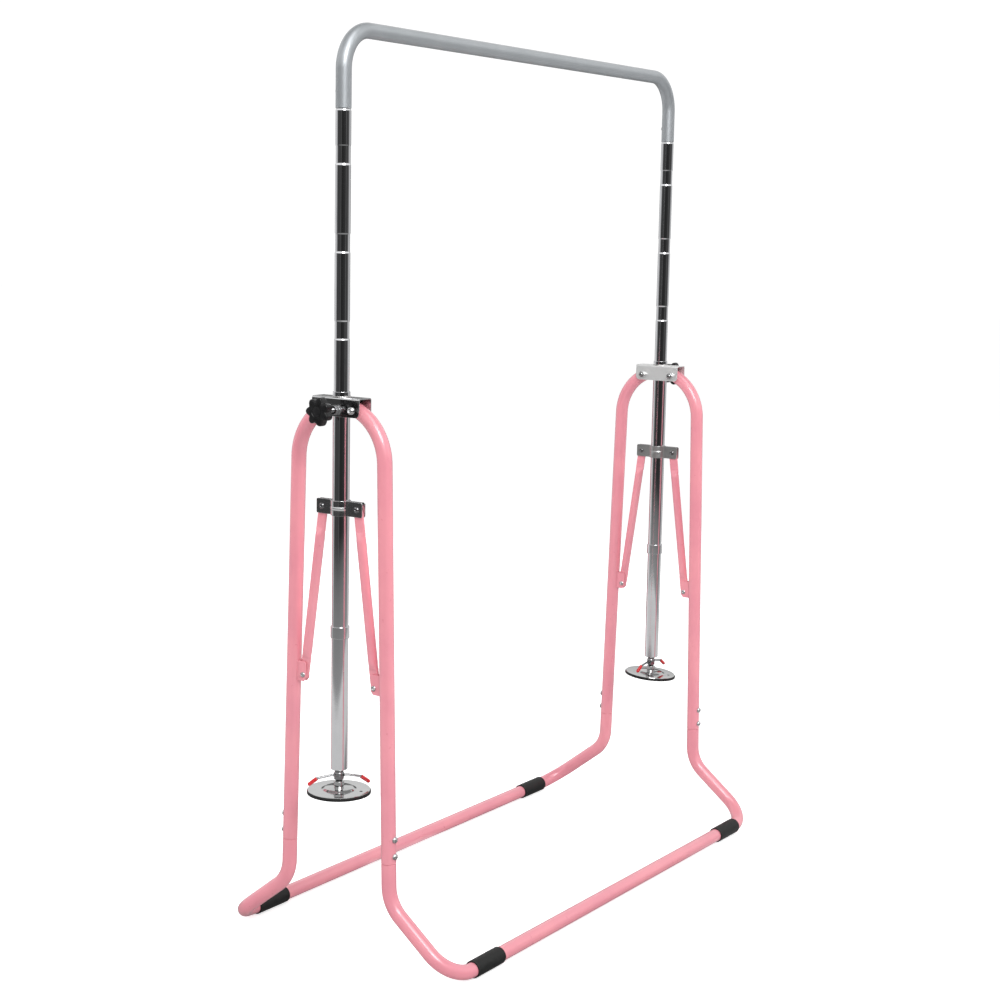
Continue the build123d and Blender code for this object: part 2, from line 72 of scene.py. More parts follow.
COL_Z, COL_H, COL_RIV, COL_IR, COL_T, COL_Y = 857.0, 27.5, 40.8, 16.1, 2.5, 53.0
BALL_Z, PAD_Z, PAD_T, PLATE_R, PLATE_T, HANDLE_Z = 336.0, 319.0, 5.5, 58.5, 1.5, 353.0
HANDLE_AZ = {-1: 138.0, 1: 176.0}
CUP_TILT = {-1: 0.0, 1: 4.8}
TILT_AXIS = Vector((0.8725, 0.4885, 0.0)).normalized()
SIDES = (("left", -1), ("right", 1))
ENDS = (("front", -1), ("rear", 1))

th = math.radians(SPLAY)
UP = (-math.sin(th), math.cos(th))
IN = (-math.cos(th), -math.sin(th))
_q = (PIV_Y - LEG_Y, PIV_Z - LEG_SEAM)
_a = _q[0] * UP[0] + _q[1] * UP[1]
_b = _q[0] * IN[0] + _q[1] * IN[1]
_t = _a - math.sqrt(LEG_ARC ** 2 - (_b - LEG_ARC) ** 2)
ARC0 = (LEG_Y + _t * UP[0], LEG_SEAM + _t * UP[1])
ARCC = (ARC0[0] + LEG_ARC * IN[0], ARC0[1] + LEG_ARC * IN[1])
PHI = math.atan2(PIV_Z - ARCC[1], PIV_Y - ARCC[0])


def leg_y(z):
    return LEG_Y + (LEG_SEAM - z) * math.tan(th)


_m = math.tan(math.radians(FOOT_SLOPE))
BEND_Z = (FLOOR_Z + (FLOOR_Y - LEG_Y - LEG_SEAM * math.tan(th)) * _m) / (1 - math.tan(th) * _m)
BEND_Y = leg_y(BEND_Z)

# ------------------------------------------------------------------ camera
C_AZ, C_EL, C_ROLL, C_F = map(float, (-55.839, 8.336, 1.114, 1831.254))
C_POS = Vector((-3156.249, -2094.741, 1360.568)) * MM
a, e, r = map(math.radians, (C_AZ, C_EL, C_ROLL))
back = Vector((math.sin(a) * math.cos(e), -math.cos(a) * math.cos(e), math.sin(e)))
right = Vector((math.cos(a), math.sin(a), 0.0))
up = right.cross(-back)
right2 = right * math.cos(r) + up * math.sin(r)
up2 = -right * math.sin(r) + up * math.cos(r)
cam_data = bpy.data.cameras.new("camera")
cam_data.sensor_width = 36.0
cam_data.lens = C_F / 1000.0 * 36.0
cam_data.clip_start = 0.05
cam_data.clip_end = 60.0
cam = bpy.data.objects.new("camera", cam_data)
bpy.context.scene.collection.objects.link(cam)
M = Matrix((right2, up2, back)).transposed().to_4x4()
M.translation = C_POS
cam.matrix_world = M
bpy.context.scene.camera = cam
bpy.context.scene.view_settings.view_transform = "Standard"
bpy.context.scene.view_settings.look = "None"


# ------------------------------------------------------------------ materials
def new_mat(name):
    m = bpy.data.materials.new(name)
    m.use_nodes = True
    nt = m.node_tree
    nt.nodes.clear()
    out = nt.nodes.new("ShaderNodeOutputMaterial")
    bs = nt.nodes.new("ShaderNodeBsdfPrincipled")
    nt.links.new(bs.outputs["BSDF"], out.inputs["Surface"])
    return m, nt, bs


def noise(nt, scale, detail=4.0, rough=0.55, stretch=None, distortion=0.0):
    tc = nt.nodes.new("ShaderNodeTexCoord")
    src = tc.outputs["Object"]
    if stretch:
        mp = nt.nodes.new("ShaderNodeMapping")
        mp.inputs["Scale"].default_value = stretch
        nt.links.new(src, mp.inputs["Vector"])
        src = mp.outputs["Vector"]
    n = nt.nodes.new("ShaderNodeTexNoise")
    n.inputs["Scale"].default_value = scale
    n.inputs["Detail"].default_value = detail
    n.inputs["Roughness"].default_value = rough
    n.inputs["Distortion"].default_value = distortion
    nt.links.new(src, n.inputs["Vector"])
    return n.outputs["Fac"]


def ramp(nt, fac, lo, hi, a=0.0, b=1.0):
    mr = nt.nodes.new("ShaderNodeMapRange")
    mr.inputs["From Min"].default_value = a
    mr.inputs["From Max"].default_value = b
    mr.inputs["To Min"].default_value = lo
    mr.inputs["To Max"].default_value = hi
    nt.links.new(fac, mr.inputs["Value"])
    return mr.outputs["Result"]


def mix_col(nt, fac, c1, c2):
    mx = nt.nodes.new("ShaderNodeMix")
    mx.data_type = "RGBA"
    for sock, c in ((mx.inputs[6], c1), (mx.inputs[7], c2)):
        if hasattr(c, "links") or isinstance(c, bpy.types.NodeSocket):
            nt.links.new(c, sock)
        else:
            sock.default_value = (*c, 1.0)
    if isinstance(fac, (int, float)):
        mx.inputs[0].default_value = fac
    else:
        nt.links.new(fac, mx.inputs[0])
    return mx.outputs[2]


def bump(nt, bs, heights, strength, distance):
    """heights: list of (socket, weight)."""
    total = None
    for s, w in heights:
        mu = nt.nodes.new("ShaderNodeMath")
        mu.operation = "MULTIPLY"
        nt.links.new(s, mu.inputs[0])
        mu.inputs[1].default_value = w
        if total is None:
            total = mu.outputs[0]
        else:
            ad = nt.nodes.new("ShaderNodeMath")
            ad.operation = "ADD"
            nt.links.new(total, ad.inputs[0])
            nt.links.new(mu.outputs[0], ad.inputs[1])
            total = ad.outputs[0]
    bn = nt.nodes.new("ShaderNodeBump")
    bn.inputs["Strength"].default_value = strength
    bn.inputs["Distance"].default_value = distance
    nt.links.new(total, bn.inputs["Height"])
    nt.links.new(bn.outputs["Normal"], bs.inputs["Normal"])


def m_pink():
    m, nt, bs = new_mat("pink_powder_coat")
    big = noise(nt, 9.0, 3.0)
    fine = noise(nt, 900.0, 2.0)
    dust = noise(nt, 70.0, 6.0, 0.7)
    c = mix_col(nt, ramp(nt, big, 0.0, 1.0, 0.35, 0.65), (0.745, 0.262, 0.320), (0.805, 0.296, 0.345))
    c = mix_col(nt, ramp(nt, dust, 0.0, 0.08, 0.55, 0.8), c, (0.90, 0.50, 0.53))
    nt.links.new(c, bs.inputs["Base Color"])
    nt.links.new(ramp(nt, dust, 0.26, 0.38, 0.3, 0.7), bs.inputs["Roughness"])
    bs.inputs["Specular IOR Level"].default_value = 0.55
    bs.inputs["Coat Weight"].default_value = 0.7
    bs.inputs["Coat Roughness"].default_value = 0.12
    bump(nt, bs, [(fine, 0.35), (noise(nt, 260.0, 2.0), 1.0)], 0.10, 0.0006)
    return m


def m_silver():
    m, nt, bs = new_mat("silver_paint")
    flake = noise(nt, 2600.0, 2.0, 0.6)
    big = noise(nt, 14.0, 3.0)
    c = mix_col(nt, ramp(nt, big, 0.0, 1.0, 0.3, 0.7), (0.37, 0.392, 0.41), (0.42, 0.442, 0.46))
    c = mix_col(nt, ramp(nt, flake, 0.0, 0.35, 0.45, 0.75), c, (0.54, 0.57, 0.60))
    nt.links.new(c, bs.inputs["Base Color"])
    bs.inputs["Metallic"].default_value = 0.68
    nt.links.new(ramp(nt, flake, 0.42, 0.54, 0.3, 0.7), bs.inputs["Roughness"])
    bs.inputs["Coat Weight"].default_value = 0.35
    bs.inputs["Coat Roughness"].default_value = 0.15
    bump(nt, bs, [(flake, 0.4), (noise(nt, 300.0, 2.0), 0.7)], 0.08, 0.0005)
    return m


def m_chrome(name, base, rough, grain, grain_strength, stretch=(1.0, 1.0, 0.04)):
    m, nt, bs = new_mat(name)
    hair = noise(nt, 1400.0, 3.0, 0.6, stretch)
    smear = noise(nt, 22.0, 5.0, 0.6)
    c = mix_col(nt, ramp(nt, smear, 0.0, 1.0, 0.3, 0.75), base, tuple(0.93 * v for v in base))
    nt.links.new(c, bs.inputs["Base Color"])
    bs.inputs["Metallic"].default_value = 1.0
    nt.links.new(ramp(nt, smear, rough, rough + grain, 0.35, 0.8), bs.inputs["Roughness"])
    bump(nt, bs, [(hair, 1.0), (smear, 0.5)], grain_strength, 0.0004)
    return m


def m_zinc():
    m, nt, bs = new_mat("zinc_hardware")
    n1 = noise(nt, 240.0, 5.0, 0.6)
    n2 = noise(nt, 1500.0, 2.0, 0.5)
    c = mix_col(nt, ramp(nt, n1, 0.0, 1.0, 0.35, 0.7), (0.62, 0.63, 0.64), (0.78, 0.78, 0.77))
    nt.links.new(c, bs.inputs["Base Color"])
    bs.inputs["Metallic"].default_value = 1.0
    nt.links.new(ramp(nt, n1, 0.16, 0.34, 0.3, 0.7), bs.inputs["Roughness"])
    bump(nt, bs, [(n1, 0.6), (n2, 0.4)], 0.12, 0.0003)
    return m


def m_rubber():
    m, nt, bs = new_mat("black_rubber")
    n1 = noise(nt, 120.0, 6.0, 0.65)
    n2 = noise(nt, 1800.0, 3.0, 0.6)
    c = mix_col(nt, ramp(nt, n1, 0.0, 1.0, 0.4, 0.75), (0.005, 0.0055, 0.0055), (0.016, 0.0165, 0.016))
    nt.links.new(c, bs.inputs["Base Color"])
    nt.links.new(ramp(nt, n1, 0.50, 0.68, 0.3, 0.7), bs.inputs["Roughness"])
    bs.inputs["Specular IOR Level"].default_value = 0.38
    bump(nt, bs, [(n2, 1.0), (n1, 0.5)], 0.22, 0.0004)
    return m


def m_plastic():
    m, nt, bs = new_mat("black_plastic")
    n1 = noise(nt, 60.0, 4.0, 0.6)
    n2 = noise(nt, 1300.0, 2.0, 0.5)
    c = mix_col(nt, ramp(nt, n1, 0.0, 1.0, 0.4, 0.7), (0.004, 0.004, 0.0045), (0.011, 0.011, 0.012))
    nt.links.new(c, bs.inputs["Base Color"])
    nt.links.new(ramp(nt, n1, 0.34, 0.46, 0.3, 0.7), bs.inputs["Roughness"])
    bs.inputs["Specular IOR Level"].default_value = 0.4
    bump(nt, bs, [(n2, 1.0)], 0.16, 0.0003)
    return m


def m_vinyl():
    m, nt, bs = new_mat("red_vinyl")
    n1 = noise(nt, 150.0, 4.0, 0.6)
    c = mix_col(nt, ramp(nt, n1, 0.0, 1.0, 0.35, 0.7), (0.50, 0.006, 0.012), (0.68, 0.020, 0.024))
    nt.links.new(c, bs.inputs["Base Color"])
    nt.links.new(ramp(nt, n1, 0.22, 0.34, 0.3, 0.7), bs.inputs["Roughness"])
    bs.inputs["Coat Weight"].default_value = 0.4
    bs.inputs["Coat Roughness"].default_value = 0.10
    bump(nt, bs, [(n1, 1.0)], 0.15, 0.0004)
    return m


def m_weld():
    m, nt, bs = new_mat("weld_metal")
    n1 = noise(nt, 500.0, 4.0, 0.6)
    c = mix_col(nt, n1, (0.42, 0.40, 0.38), (0.70, 0.70, 0.70))
    nt.links.new(c, bs.inputs["Base Color"])
    bs.inputs["Metallic"].default_value = 1.0
    nt.links.new(ramp(nt, n1, 0.18, 0.38), bs.inputs["Roughness"])
    bump(nt, bs, [(n1, 1.0)], 0.25, 0.0004)
    return m


MATS = {
    "pink_powder_coat": m_pink(),
    "silver_paint": m_silver(),
    "chrome_tube": m_chrome("chrome_tube", (0.80, 0.805, 0.82), 0.035, 0.05, 0.05),
    "chrome_pressing": m_chrome("chrome_pressing", (0.74, 0.745, 0.75), 0.10, 0.10, 0.10, (1.0, 0.05, 1.0)),
    "zinc_hardware": m_zinc(),
    "black_rubber": m_rubber(),
    "black_plastic": m_plastic(),
    "red_vinyl": m_vinyl(),
}
WELD = m_weld()
# Copy of the chrome finish with a very dark base colour, for nuts, screws, rivets, studs, hubs and handle rods: the
# darkness is painted shade that keeps their reflections grey
HARDWARE_PAINTED_SHADE = m_chrome("hardware_metal_painted_shade", (0.25, 0.25, 0.255), 0.14, 0.10, 0.15, (1.0, 1.0, 1.0))
# Copy of the chrome finish with a darker base colour for the suction plates: painted shade that keeps the dome grey
DISC_PAINTED_SHADE = m_chrome("chrome_disc_painted_shade", (0.50, 0.505, 0.505), 0.06, 0.06, 0.06, (1.0, 1.0, 1.0))
# Darker, rougher copy of the chrome pressing finish for the right collars only: its darker base colour is painted
# shade for that side
PRESSING_PAINTED_SHADE = m_chrome("chrome_pressing_painted_shade", (0.50, 0.505, 0.50), 0.36, 0.10, 0.35, (1.0, 0.05, 1.0))
# Lighter copy of the chrome pressing finish, with a lighter base colour and less metallic, for the right bracket
# only: painted light for that side
PRESSING_PAINTED_LIGHT = m_chrome("chrome_pressing_painted_light", (0.86, 0.865, 0.86), 0.40, 0.10, 0.30, (1.0, 1.0, 0.03))
PRESSING_PAINTED_LIGHT.node_tree.nodes["Principled BSDF"].inputs["Metallic"].default_value = 0.7


# ------------------------------------------------------------------ mesh helpers
def put(name, node, verts, faces, mat=None, sharp=38.0, body=None, bevel=None, slot=None, scale=MM):
    me = bpy.data.meshes.new(name)
    me.from_pydata([Vector(v) * scale for v in verts], [], faces)
    me.validate()
    bm = bmesh.new()
    bm.from_mesh(me)
    bmesh.ops.recalc_face_normals(bm, faces=bm.faces)
    bm.to_mesh(me)
    bm.free()
    me.polygons.foreach_set("use_smooth", [True] * len(me.polygons))
    me.set_sharp_from_angle(angle=math.radians(sharp))
    ob = bpy.data.objects.new(name, me)
    bpy.context.scene.collection.objects.link(ob)
    slot = slot or SLOT[node]
    me.materials.append(mat or MATS[slot])
    if bevel:
        bv = ob.modifiers.new("edge", "BEVEL")
        bv.width = bevel * MM
        bv.segments = 3
        bv.limit_method = "ANGLE"
        bv.angle_limit = math.radians(40)
        bv.harden_normals = True
    wn = ob.modifiers.new("shade", "WEIGHTED_NORMAL")
    wn.keep_sharp = True
    wn.weight = 80
    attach(ob, body or BODY[node])
    return ob


def fillet_path(pts, radii, arc_step=4.0):
    """Points of a polyline whose inner corners are rounded, with tangent arcs."""
    pts = [Vector(p) for p in pts]
    out = [pts[0]]
    for i in range(1, len(pts) - 1):
        p, q, s = pts[i - 1], pts[i], pts[i + 1]
        u, v = (p - q).normalized(), (s - q).normalized()
        turn = math.pi - u.angle(v)
        R = radii[i - 1]
        d = R * math.tan(turn / 2)
        c = q + (u + v).normalized() * (R / math.cos(turn / 2))
        a0 = q + u * d - c
        n = max(4, int(math.degrees(turn) / arc_step))
        ax = a0.cross(q + v * d - c).normalized()
        for k in range(n + 1):
            out.append(c + Matrix.Rotation(turn * k / n, 3, ax) @ a0)
    out.append(pts[-1])
    return out


def frames(path):
    """Parallel-transported frames along a path."""
    n = len(path)
    tan = []
    for i in range(n):
        if i == 0:
            t = path[1] - path[0]
        elif i == n - 1:
            t = path[-1] - path[-2]
        else:
            t = (path[i + 1] - path[i]).normalized() + (path[i] - path[i - 1]).normalized()
        tan.append(t.normalized())
    ref = Vector((1, 0, 0)) if abs(tan[0].x) < 0.9 else Vector((0, 1, 0))
    u = (ref - tan[0] * ref.dot(tan[0])).normalized()
    res = []
    for i in range(n):
        u = (u - tan[i] * u.dot(tan[i])).normalized()
        res.append((path[i], u, tan[i].cross(u), tan[i]))
    return res


def ends_rounded(path, r, edge=0.7):
    """Rings (point, radius) of a tube with a small round on each end."""
    p0, p1 = path[0], path[1]
    q0, q1 = path[-1], path[-2]
    d0, d1 = (p1 - p0).normalized(), (q1 - q0).normalized()
    a = [(p0 + d0 * edge * (1 - math.sin(t)), r - edge * (1 - math.cos(t))) for t in (1.571, 1.05, 0.52, 0.0)]
    b = [(q0 + d1 * edge * (1 - math.sin(t)), r - edge * (1 - math.cos(t))) for t in (0.0, 0.52, 1.05, 1.571)]
    mid = [(p, r) for p in path[1:-1]]
    return a + mid + b


def tube_mesh(path, r, ir=None, seg=64, edge=0.7):
    """A hollow or solid round tube along a path."""
    outer = ends_rounded(path, r, edge)
    fr = frames([p for p, _ in outer])
    verts, faces = [], []
    cs = [(math.cos(2 * math.pi * k / seg), math.sin(2 * math.pi * k / seg)) for k in range(seg)]

    def ring(f, rad):
        base = len(verts)
        p, u, v, _ = f
        verts.extend([p + u * (rad * c) + v * (rad * s) for c, s in cs])
        return base

    rings = [ring(f, rad) for f, (_, rad) in zip(fr, outer)]
    if ir:
        rings += [ring(f, ir) for f in reversed(fr)]
        order = rings + [rings[0]]
    else:
        order = rings
    for a, b in zip(order, order[1:]):
        for k in range(seg):
            j = (k + 1) % seg
            faces.append((a + k, a + j, b + j, b + k))
    if not ir:
        faces.append(tuple(rings[0] + k for k in reversed(range(seg))))
        faces.append(tuple(rings[-1] + k for k in range(seg)))
    return verts, faces


def lathe(profile, origin=(0, 0, 0), axis=(0, 0, 1), seg=64, closed=False):
    """Revolves (r, h) points about an axis. Points with r == 0 become single vertices."""
    o, ax = Vector(origin), Vector(axis).normalized()
    ref = Vector((1, 0, 0)) if abs(ax.x) < 0.9 else Vector((0, 1, 0))
    u = (ref - ax * ref.dot(ax)).normalized()
    v = ax.cross(u)
    verts, faces, rings = [], [], []
    for r, h in profile:
        base = len(verts)
        if r < 1e-6:
            verts.append(o + ax * h)
            rings.append((base, 1))
        else:
            for k in range(seg):
                t = 2 * math.pi * k / seg
                verts.append(o + ax * h + u * (r * math.cos(t)) + v * (r * math.sin(t)))
            rings.append((base, seg))
    pairs = list(zip(rings, rings[1:]))
    if closed:
        pairs.append((rings[-1], rings[0]))
    for (a, na), (b, nb) in pairs:
        for k in range(seg):
            j = (k + 1) % seg
            if na == 1 and nb == 1:
                continue
            if na == 1:
                faces.append((a, b + j, b + k))
            elif nb == 1:
                faces.append((a + k, a + j, b))
            else:
                faces.append((a + k, a + j, b + j, b + k))
    return verts, faces


def rounded(profile, radius=0.5, steps=3, closed=False):
    """Rounds the corners of an (r, h) polyline."""
    P = [Vector((x, y)) for x, y in profile]
    n = len(P)
    out = []
    rng = range(n) if closed else range(1, n - 1)
    if not closed:
        out.append(P[0])
    for i in rng:
        p, q, s = P[i - 1], P[i], P[(i + 1) % n]
        u, v = p - q, s - q
        lim = min(radius, u.length * 0.45, v.length * 0.45)
        if lim < 0.02 or abs(math.pi - u.angle(v, math.pi)) < 0.12:
            out.append(q)
            continue
        u.normalize()
        v.normalize()
        a, b = q + u * lim, q + v * lim
        for k in range(steps + 1):
            t = k / steps
            out.append(a * (1 - t) ** 2 + q * 2 * t * (1 - t) + b * t * t)
    if not closed:
        out.append(P[-1])
    return [(p.x, p.y) for p in out]


def join(*parts):
    verts, faces = [], []
    for v, f in parts:
        base = len(verts)
        verts.extend(v)
        faces.extend([tuple(i + base for i in q) for q in f])
    return verts, faces


def hex_r(t, flats):
    t = (t + math.pi / 6) % (math.pi / 3) - math.pi / 6
    return flats / 2 / math.cos(t)


def button(origin, axis, d, h, socket, depth, seg=48, skirt=0.0):
    """A button-head screw with a hexagon socket. The head's base is at origin."""
    o, ax = Vector(origin), Vector(axis).normalized()
    ref = Vector((0, 0, 1)) if abs(ax.z) < 0.9 else Vector((1, 0, 0))
    u = (ref - ax * ref.dot(ax)).normalized()
    v = ax.cross(u)
    R = d / 2
    rim = socket * 0.66
    prof = [(R * 0.55, -skirt), (R, -skirt)] if skirt else [(R * 0.55, 0.0)]
    prof += [(R, 0.0), (R, 0.35)]
    n = 7
    for k in range(1, n + 1):
        t = k / n * math.pi / 2
        rr = R - (R - rim) * (1 - math.cos(t))
        prof.append((rr, 0.35 + (h - 0.35) * math.sin(t)))
    verts, faces, rings = [], [], []

    def ring(fn, hh):
        base = len(verts)
        for k in range(seg):
            t = 2 * math.pi * k / seg
            rr = fn(t)
            verts.append(o + ax * hh + u * (rr * math.cos(t)) + v * (rr * math.sin(t)))
        rings.append(base)

    for rr, hh in prof:
        ring(lambda t, rr=rr: rr, hh)
    ring(lambda t: hex_r(t, socket) + 0.18, h)
    ring(lambda t: hex_r(t, socket), h - 0.2)
    ring(lambda t: hex_r(t, socket) * 0.99, h - depth)
    ring(lambda t: socket * 0.2, h - depth - 0.5)
    for a, b in zip(rings, rings[1:]):
        for k in range(seg):
            j = (k + 1) % seg
            faces.append((a + k, a + j, b + j, b + k))
    faces.append(tuple(rings[0] + k for k in reversed(range(seg))))
    faces.append(tuple(rings[-1] + k for k in range(seg)))
    return verts, faces


def hex_nut(origin, axis, flats, h, bore=None, seg=48, washer=0.0):
    """A chamfered hexagon nut, base at origin."""
    o, ax = Vector(origin), Vector(axis).normalized()
    ref = Vector((0, 0, 1)) if abs(ax.z) < 0.9 else Vector((1, 0, 0))
    u = (ref - ax * ref.dot(ax)).normalized()
    v = ax.cross(u)
    verts, faces, rings = [], [], []
    corner = flats / math.sqrt(3)

    def ring(fn, hh):
        base = len(verts)
        for k in range(seg):
            t = 2 * math.pi * k / seg
            rr = fn(t)
            dh = 0.0
            verts.append(o + ax * (hh + dh) + u * (rr * math.cos(t)) + v * (rr * math.sin(t)))
        rings.append(base)

    c = corner - flats / 2
    b = bore / 2 if bore else 0.5
    ring(lambda t: b + 0.4, 0.0)
    ring(lambda t: flats / 2 * 0.93, 0.0)
    ring(lambda t: min(hex_r(t, flats), flats / 2 * 1.01), c * 0.25)
    ring(lambda t: hex_r(t, flats), c * 0.75)
    ring(lambda t: hex_r(t, flats), h - c * 0.75)
    ring(lambda t: min(hex_r(t, flats), flats / 2 * 1.01), h - c * 0.25)
    ring(lambda t: flats / 2 * 0.93, h)
    ring(lambda t: b + 0.5, h)
    ring(lambda t: b, h - 0.5)
    ring(lambda t: b, 0.5)
    order = rings + [rings[0]]
    for a, q in zip(order, order[1:]):
        for k in range(seg):
            j = (k + 1) % seg
            faces.append((a + k, a + j, q + j, q + k))
    return verts, faces


def bead(path, r, seed=1, closed=False, seg=10, pitch=1.6):
    """A weld bead: a small round of uneven thickness with ripples along it."""
    rng = np.random.default_rng(seed)
    pts = [Vector(p) for p in path]
    total = [0.0]
    for a, b in zip(pts, pts[1:]):
        total.append(total[-1] + (b - a).length)
    ph = rng.uniform(0, 6.28, 3)
    fr = frames(pts)
    verts, faces = [], []
    n = len(pts)
    for i, (p, u, v, t) in enumerate(fr):
        s = total[i]
        k = 1.0 + 0.16 * math.sin(2 * math.pi * s / pitch + ph[0]) + 0.12 * math.sin(s / 3.1 + ph[1])
        if not closed:
            k *= min(1.0, 0.25 + 2.0 * min(s, total[-1] - s) / (3 * r)) if min(s, total[-1] - s) < 1.2 * r else 1.0
        for j in range(seg):
            w = 2 * math.pi * j / seg
            verts.append(p + (u * math.cos(w) + v * math.sin(w)) * (r * k))
    for i in range(n - 1 + (1 if closed else 0)):
        a, b = i * seg, ((i + 1) % n) * seg
        for j in range(seg):
            q = (j + 1) % seg
            faces.append((a + j, a + q, b + q, b + j))
    if not closed:
        faces.append(tuple(reversed(range(seg))))
        faces.append(tuple((n - 1) * seg + j for j in range(seg)))
    return verts, faces


def circle_pts(c, r, axis="z", n=120, a0=0.0, a1=2 * math.pi):
    c = Vector(c)
    full = abs(a1 - a0 - 2 * math.pi) < 1e-6
    out = []
    for k in range(n if full else n + 1):
        t = a0 + (a1 - a0) * k / n
        if axis == "z":
            out.append(c + Vector((r * math.cos(t), r * math.sin(t), 0)))
        elif axis == "x":
            out.append(c + Vector((0, r * math.cos(t), r * math.sin(t))))
        else:
            out.append(c + Vector((r * math.cos(t), 0, r * math.sin(t))))
    return out


# ------------------------------------------------------------------ grip bar
bar_path = fillet_path([(-POST_X, 0, SEAM_Z), (-POST_X, 0, BAR_Z), (POST_X, 0, BAR_Z), (POST_X, 0, SEAM_Z)], [BAR_R, BAR_R], 2.5)
ob = put("top_bar_tube", "top_bar", *tube_mesh(bar_path, BAR_RAD, BAR_RAD - 2.0, 72, 0.5))
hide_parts("top_bar")

for n, s in SIDES:
    x = s * POST_X
    # inner tube: rolled waists with round shoulders, and a drawn-in collar under the bar
    R, W = TUBE_R, 13.2
    prof = [(12.4, INNER_BOTTOM + 1.0), (R - 0.5, INNER_BOTTOM), (R, INNER_BOTTOM + 0.6)]
    for z in sorted(WAISTS):
        for sgn in (-1, 1):
            zc = z + sgn * 16.5
            pts = []
            for k in range(9):
                t = k / 8
                h = (t - 0.5) * 4.6
                f = 0.5 - 0.5 * math.cos(math.pi * t)
                rr = (R + (W - R) * f) if sgn < 0 else (W + (R - W) * f)
                pts.append((rr, zc + h))
            prof += pts
    prof += [(R, SEAM_Z - 4.5), (R - 0.5, SEAM_Z - 3.2), (R - 0.7, SEAM_Z - 1.2), (12.1, SEAM_Z - 0.6), (12.1, SEAM_Z + 44),
             (10.8, SEAM_Z + 44)]
    v, f = lathe(prof + [(10.8, INNER_BOTTOM + 6)], (x, 0, 0), seg=72, closed=True)
    ob = put("inner_tube_body_" + n, "inner_tube_" + n, v, f, sharp=30)
    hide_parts("inner_tube_" + n)

# bar screws: small cross-recess look as button heads on the rear side
v, f = join(*[button((s * POST_X, BAR_RAD - 0.3, SEAM_Z + 30), (0, 1, 0), 8.6, 2.9, 3.0, 1.6) for _, s in SIDES])
ob = put("bar_screw_heads", "bar_screws", v, f)
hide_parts("bar_screws")

# ------------------------------------------------------------------ posts
for n, s in SIDES:
    x = s * POST_X
    up_prof = [(POST_IR, POST_TOP - 0.2), (POST_IR + 0.3, POST_TOP), (POST_R - 0.25, POST_TOP), (POST_R, POST_TOP - 0.4),
               (POST_R, POST_JOINT + 0.6), (POST_R - 0.6, POST_JOINT),
               (POST_IR + 0.2, POST_JOINT), (POST_IR, POST_JOINT + 0.4)]
    v, f = lathe(up_prof, (x, 0, 0), seg=80, closed=True)
    ob = put("upper_post_tube_" + n, "post_upper_" + n, v, f, sharp=50)
    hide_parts("post_upper_" + n)
    lo_prof = [(POST_IR, POST_JOINT - 0.4), (POST_IR + 0.2, POST_JOINT), (POST_R - 0.6, POST_JOINT), (POST_R, POST_JOINT - 0.6),
               (POST_R, POST_BOTTOM + 1.0), (POST_R - 0.3, POST_BOTTOM + 0.3), (POST_R - 0.9, POST_BOTTOM),
               (POST_IR + 0.3, POST_BOTTOM), (POST_IR, POST_BOTTOM + 0.4)]
    v, f = lathe(lo_prof, (x, 0, 0), seg=80, closed=True)
    ob = put("lower_post_tube_" + n, "post_lower_" + n, v, f, sharp=50)
    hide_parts("post_lower_" + n)
    ring = rounded([(POST_R + 0.03, POST_JOINT - 11), (17.75, POST_JOINT - 11), (17.75, POST_JOINT + 11), (POST_R + 0.03, POST_JOINT + 11)], 1.3, 5, True)
    v, f = lathe(ring, (x, 0, 0), seg=80, closed=True)
    ob = put("stop_ring_sleeve_" + n, "stop_ring_" + n, v, f, sharp=50)
    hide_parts("stop_ring_" + n)
    # bottom plug, a pressed cap with a raised thread boss
    pr = rounded([(5.2, POST_BOTTOM + 24), (POST_IR - 0.1, POST_BOTTOM + 24), (POST_IR - 0.1, POST_BOTTOM + 1.2), (9.5, POST_BOTTOM + 1.2),
                  (8.7, POST_BOTTOM + 0.1), (5.2, POST_BOTTOM + 0.1)], 0.5, 3, True)
    v, f = lathe(pr, (x, 0, 0), seg=64, closed=True)
    put("post_plug_" + n, "post_end_plugs", v, f)
for n, s in SIDES:
    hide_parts("post_end_plugs")


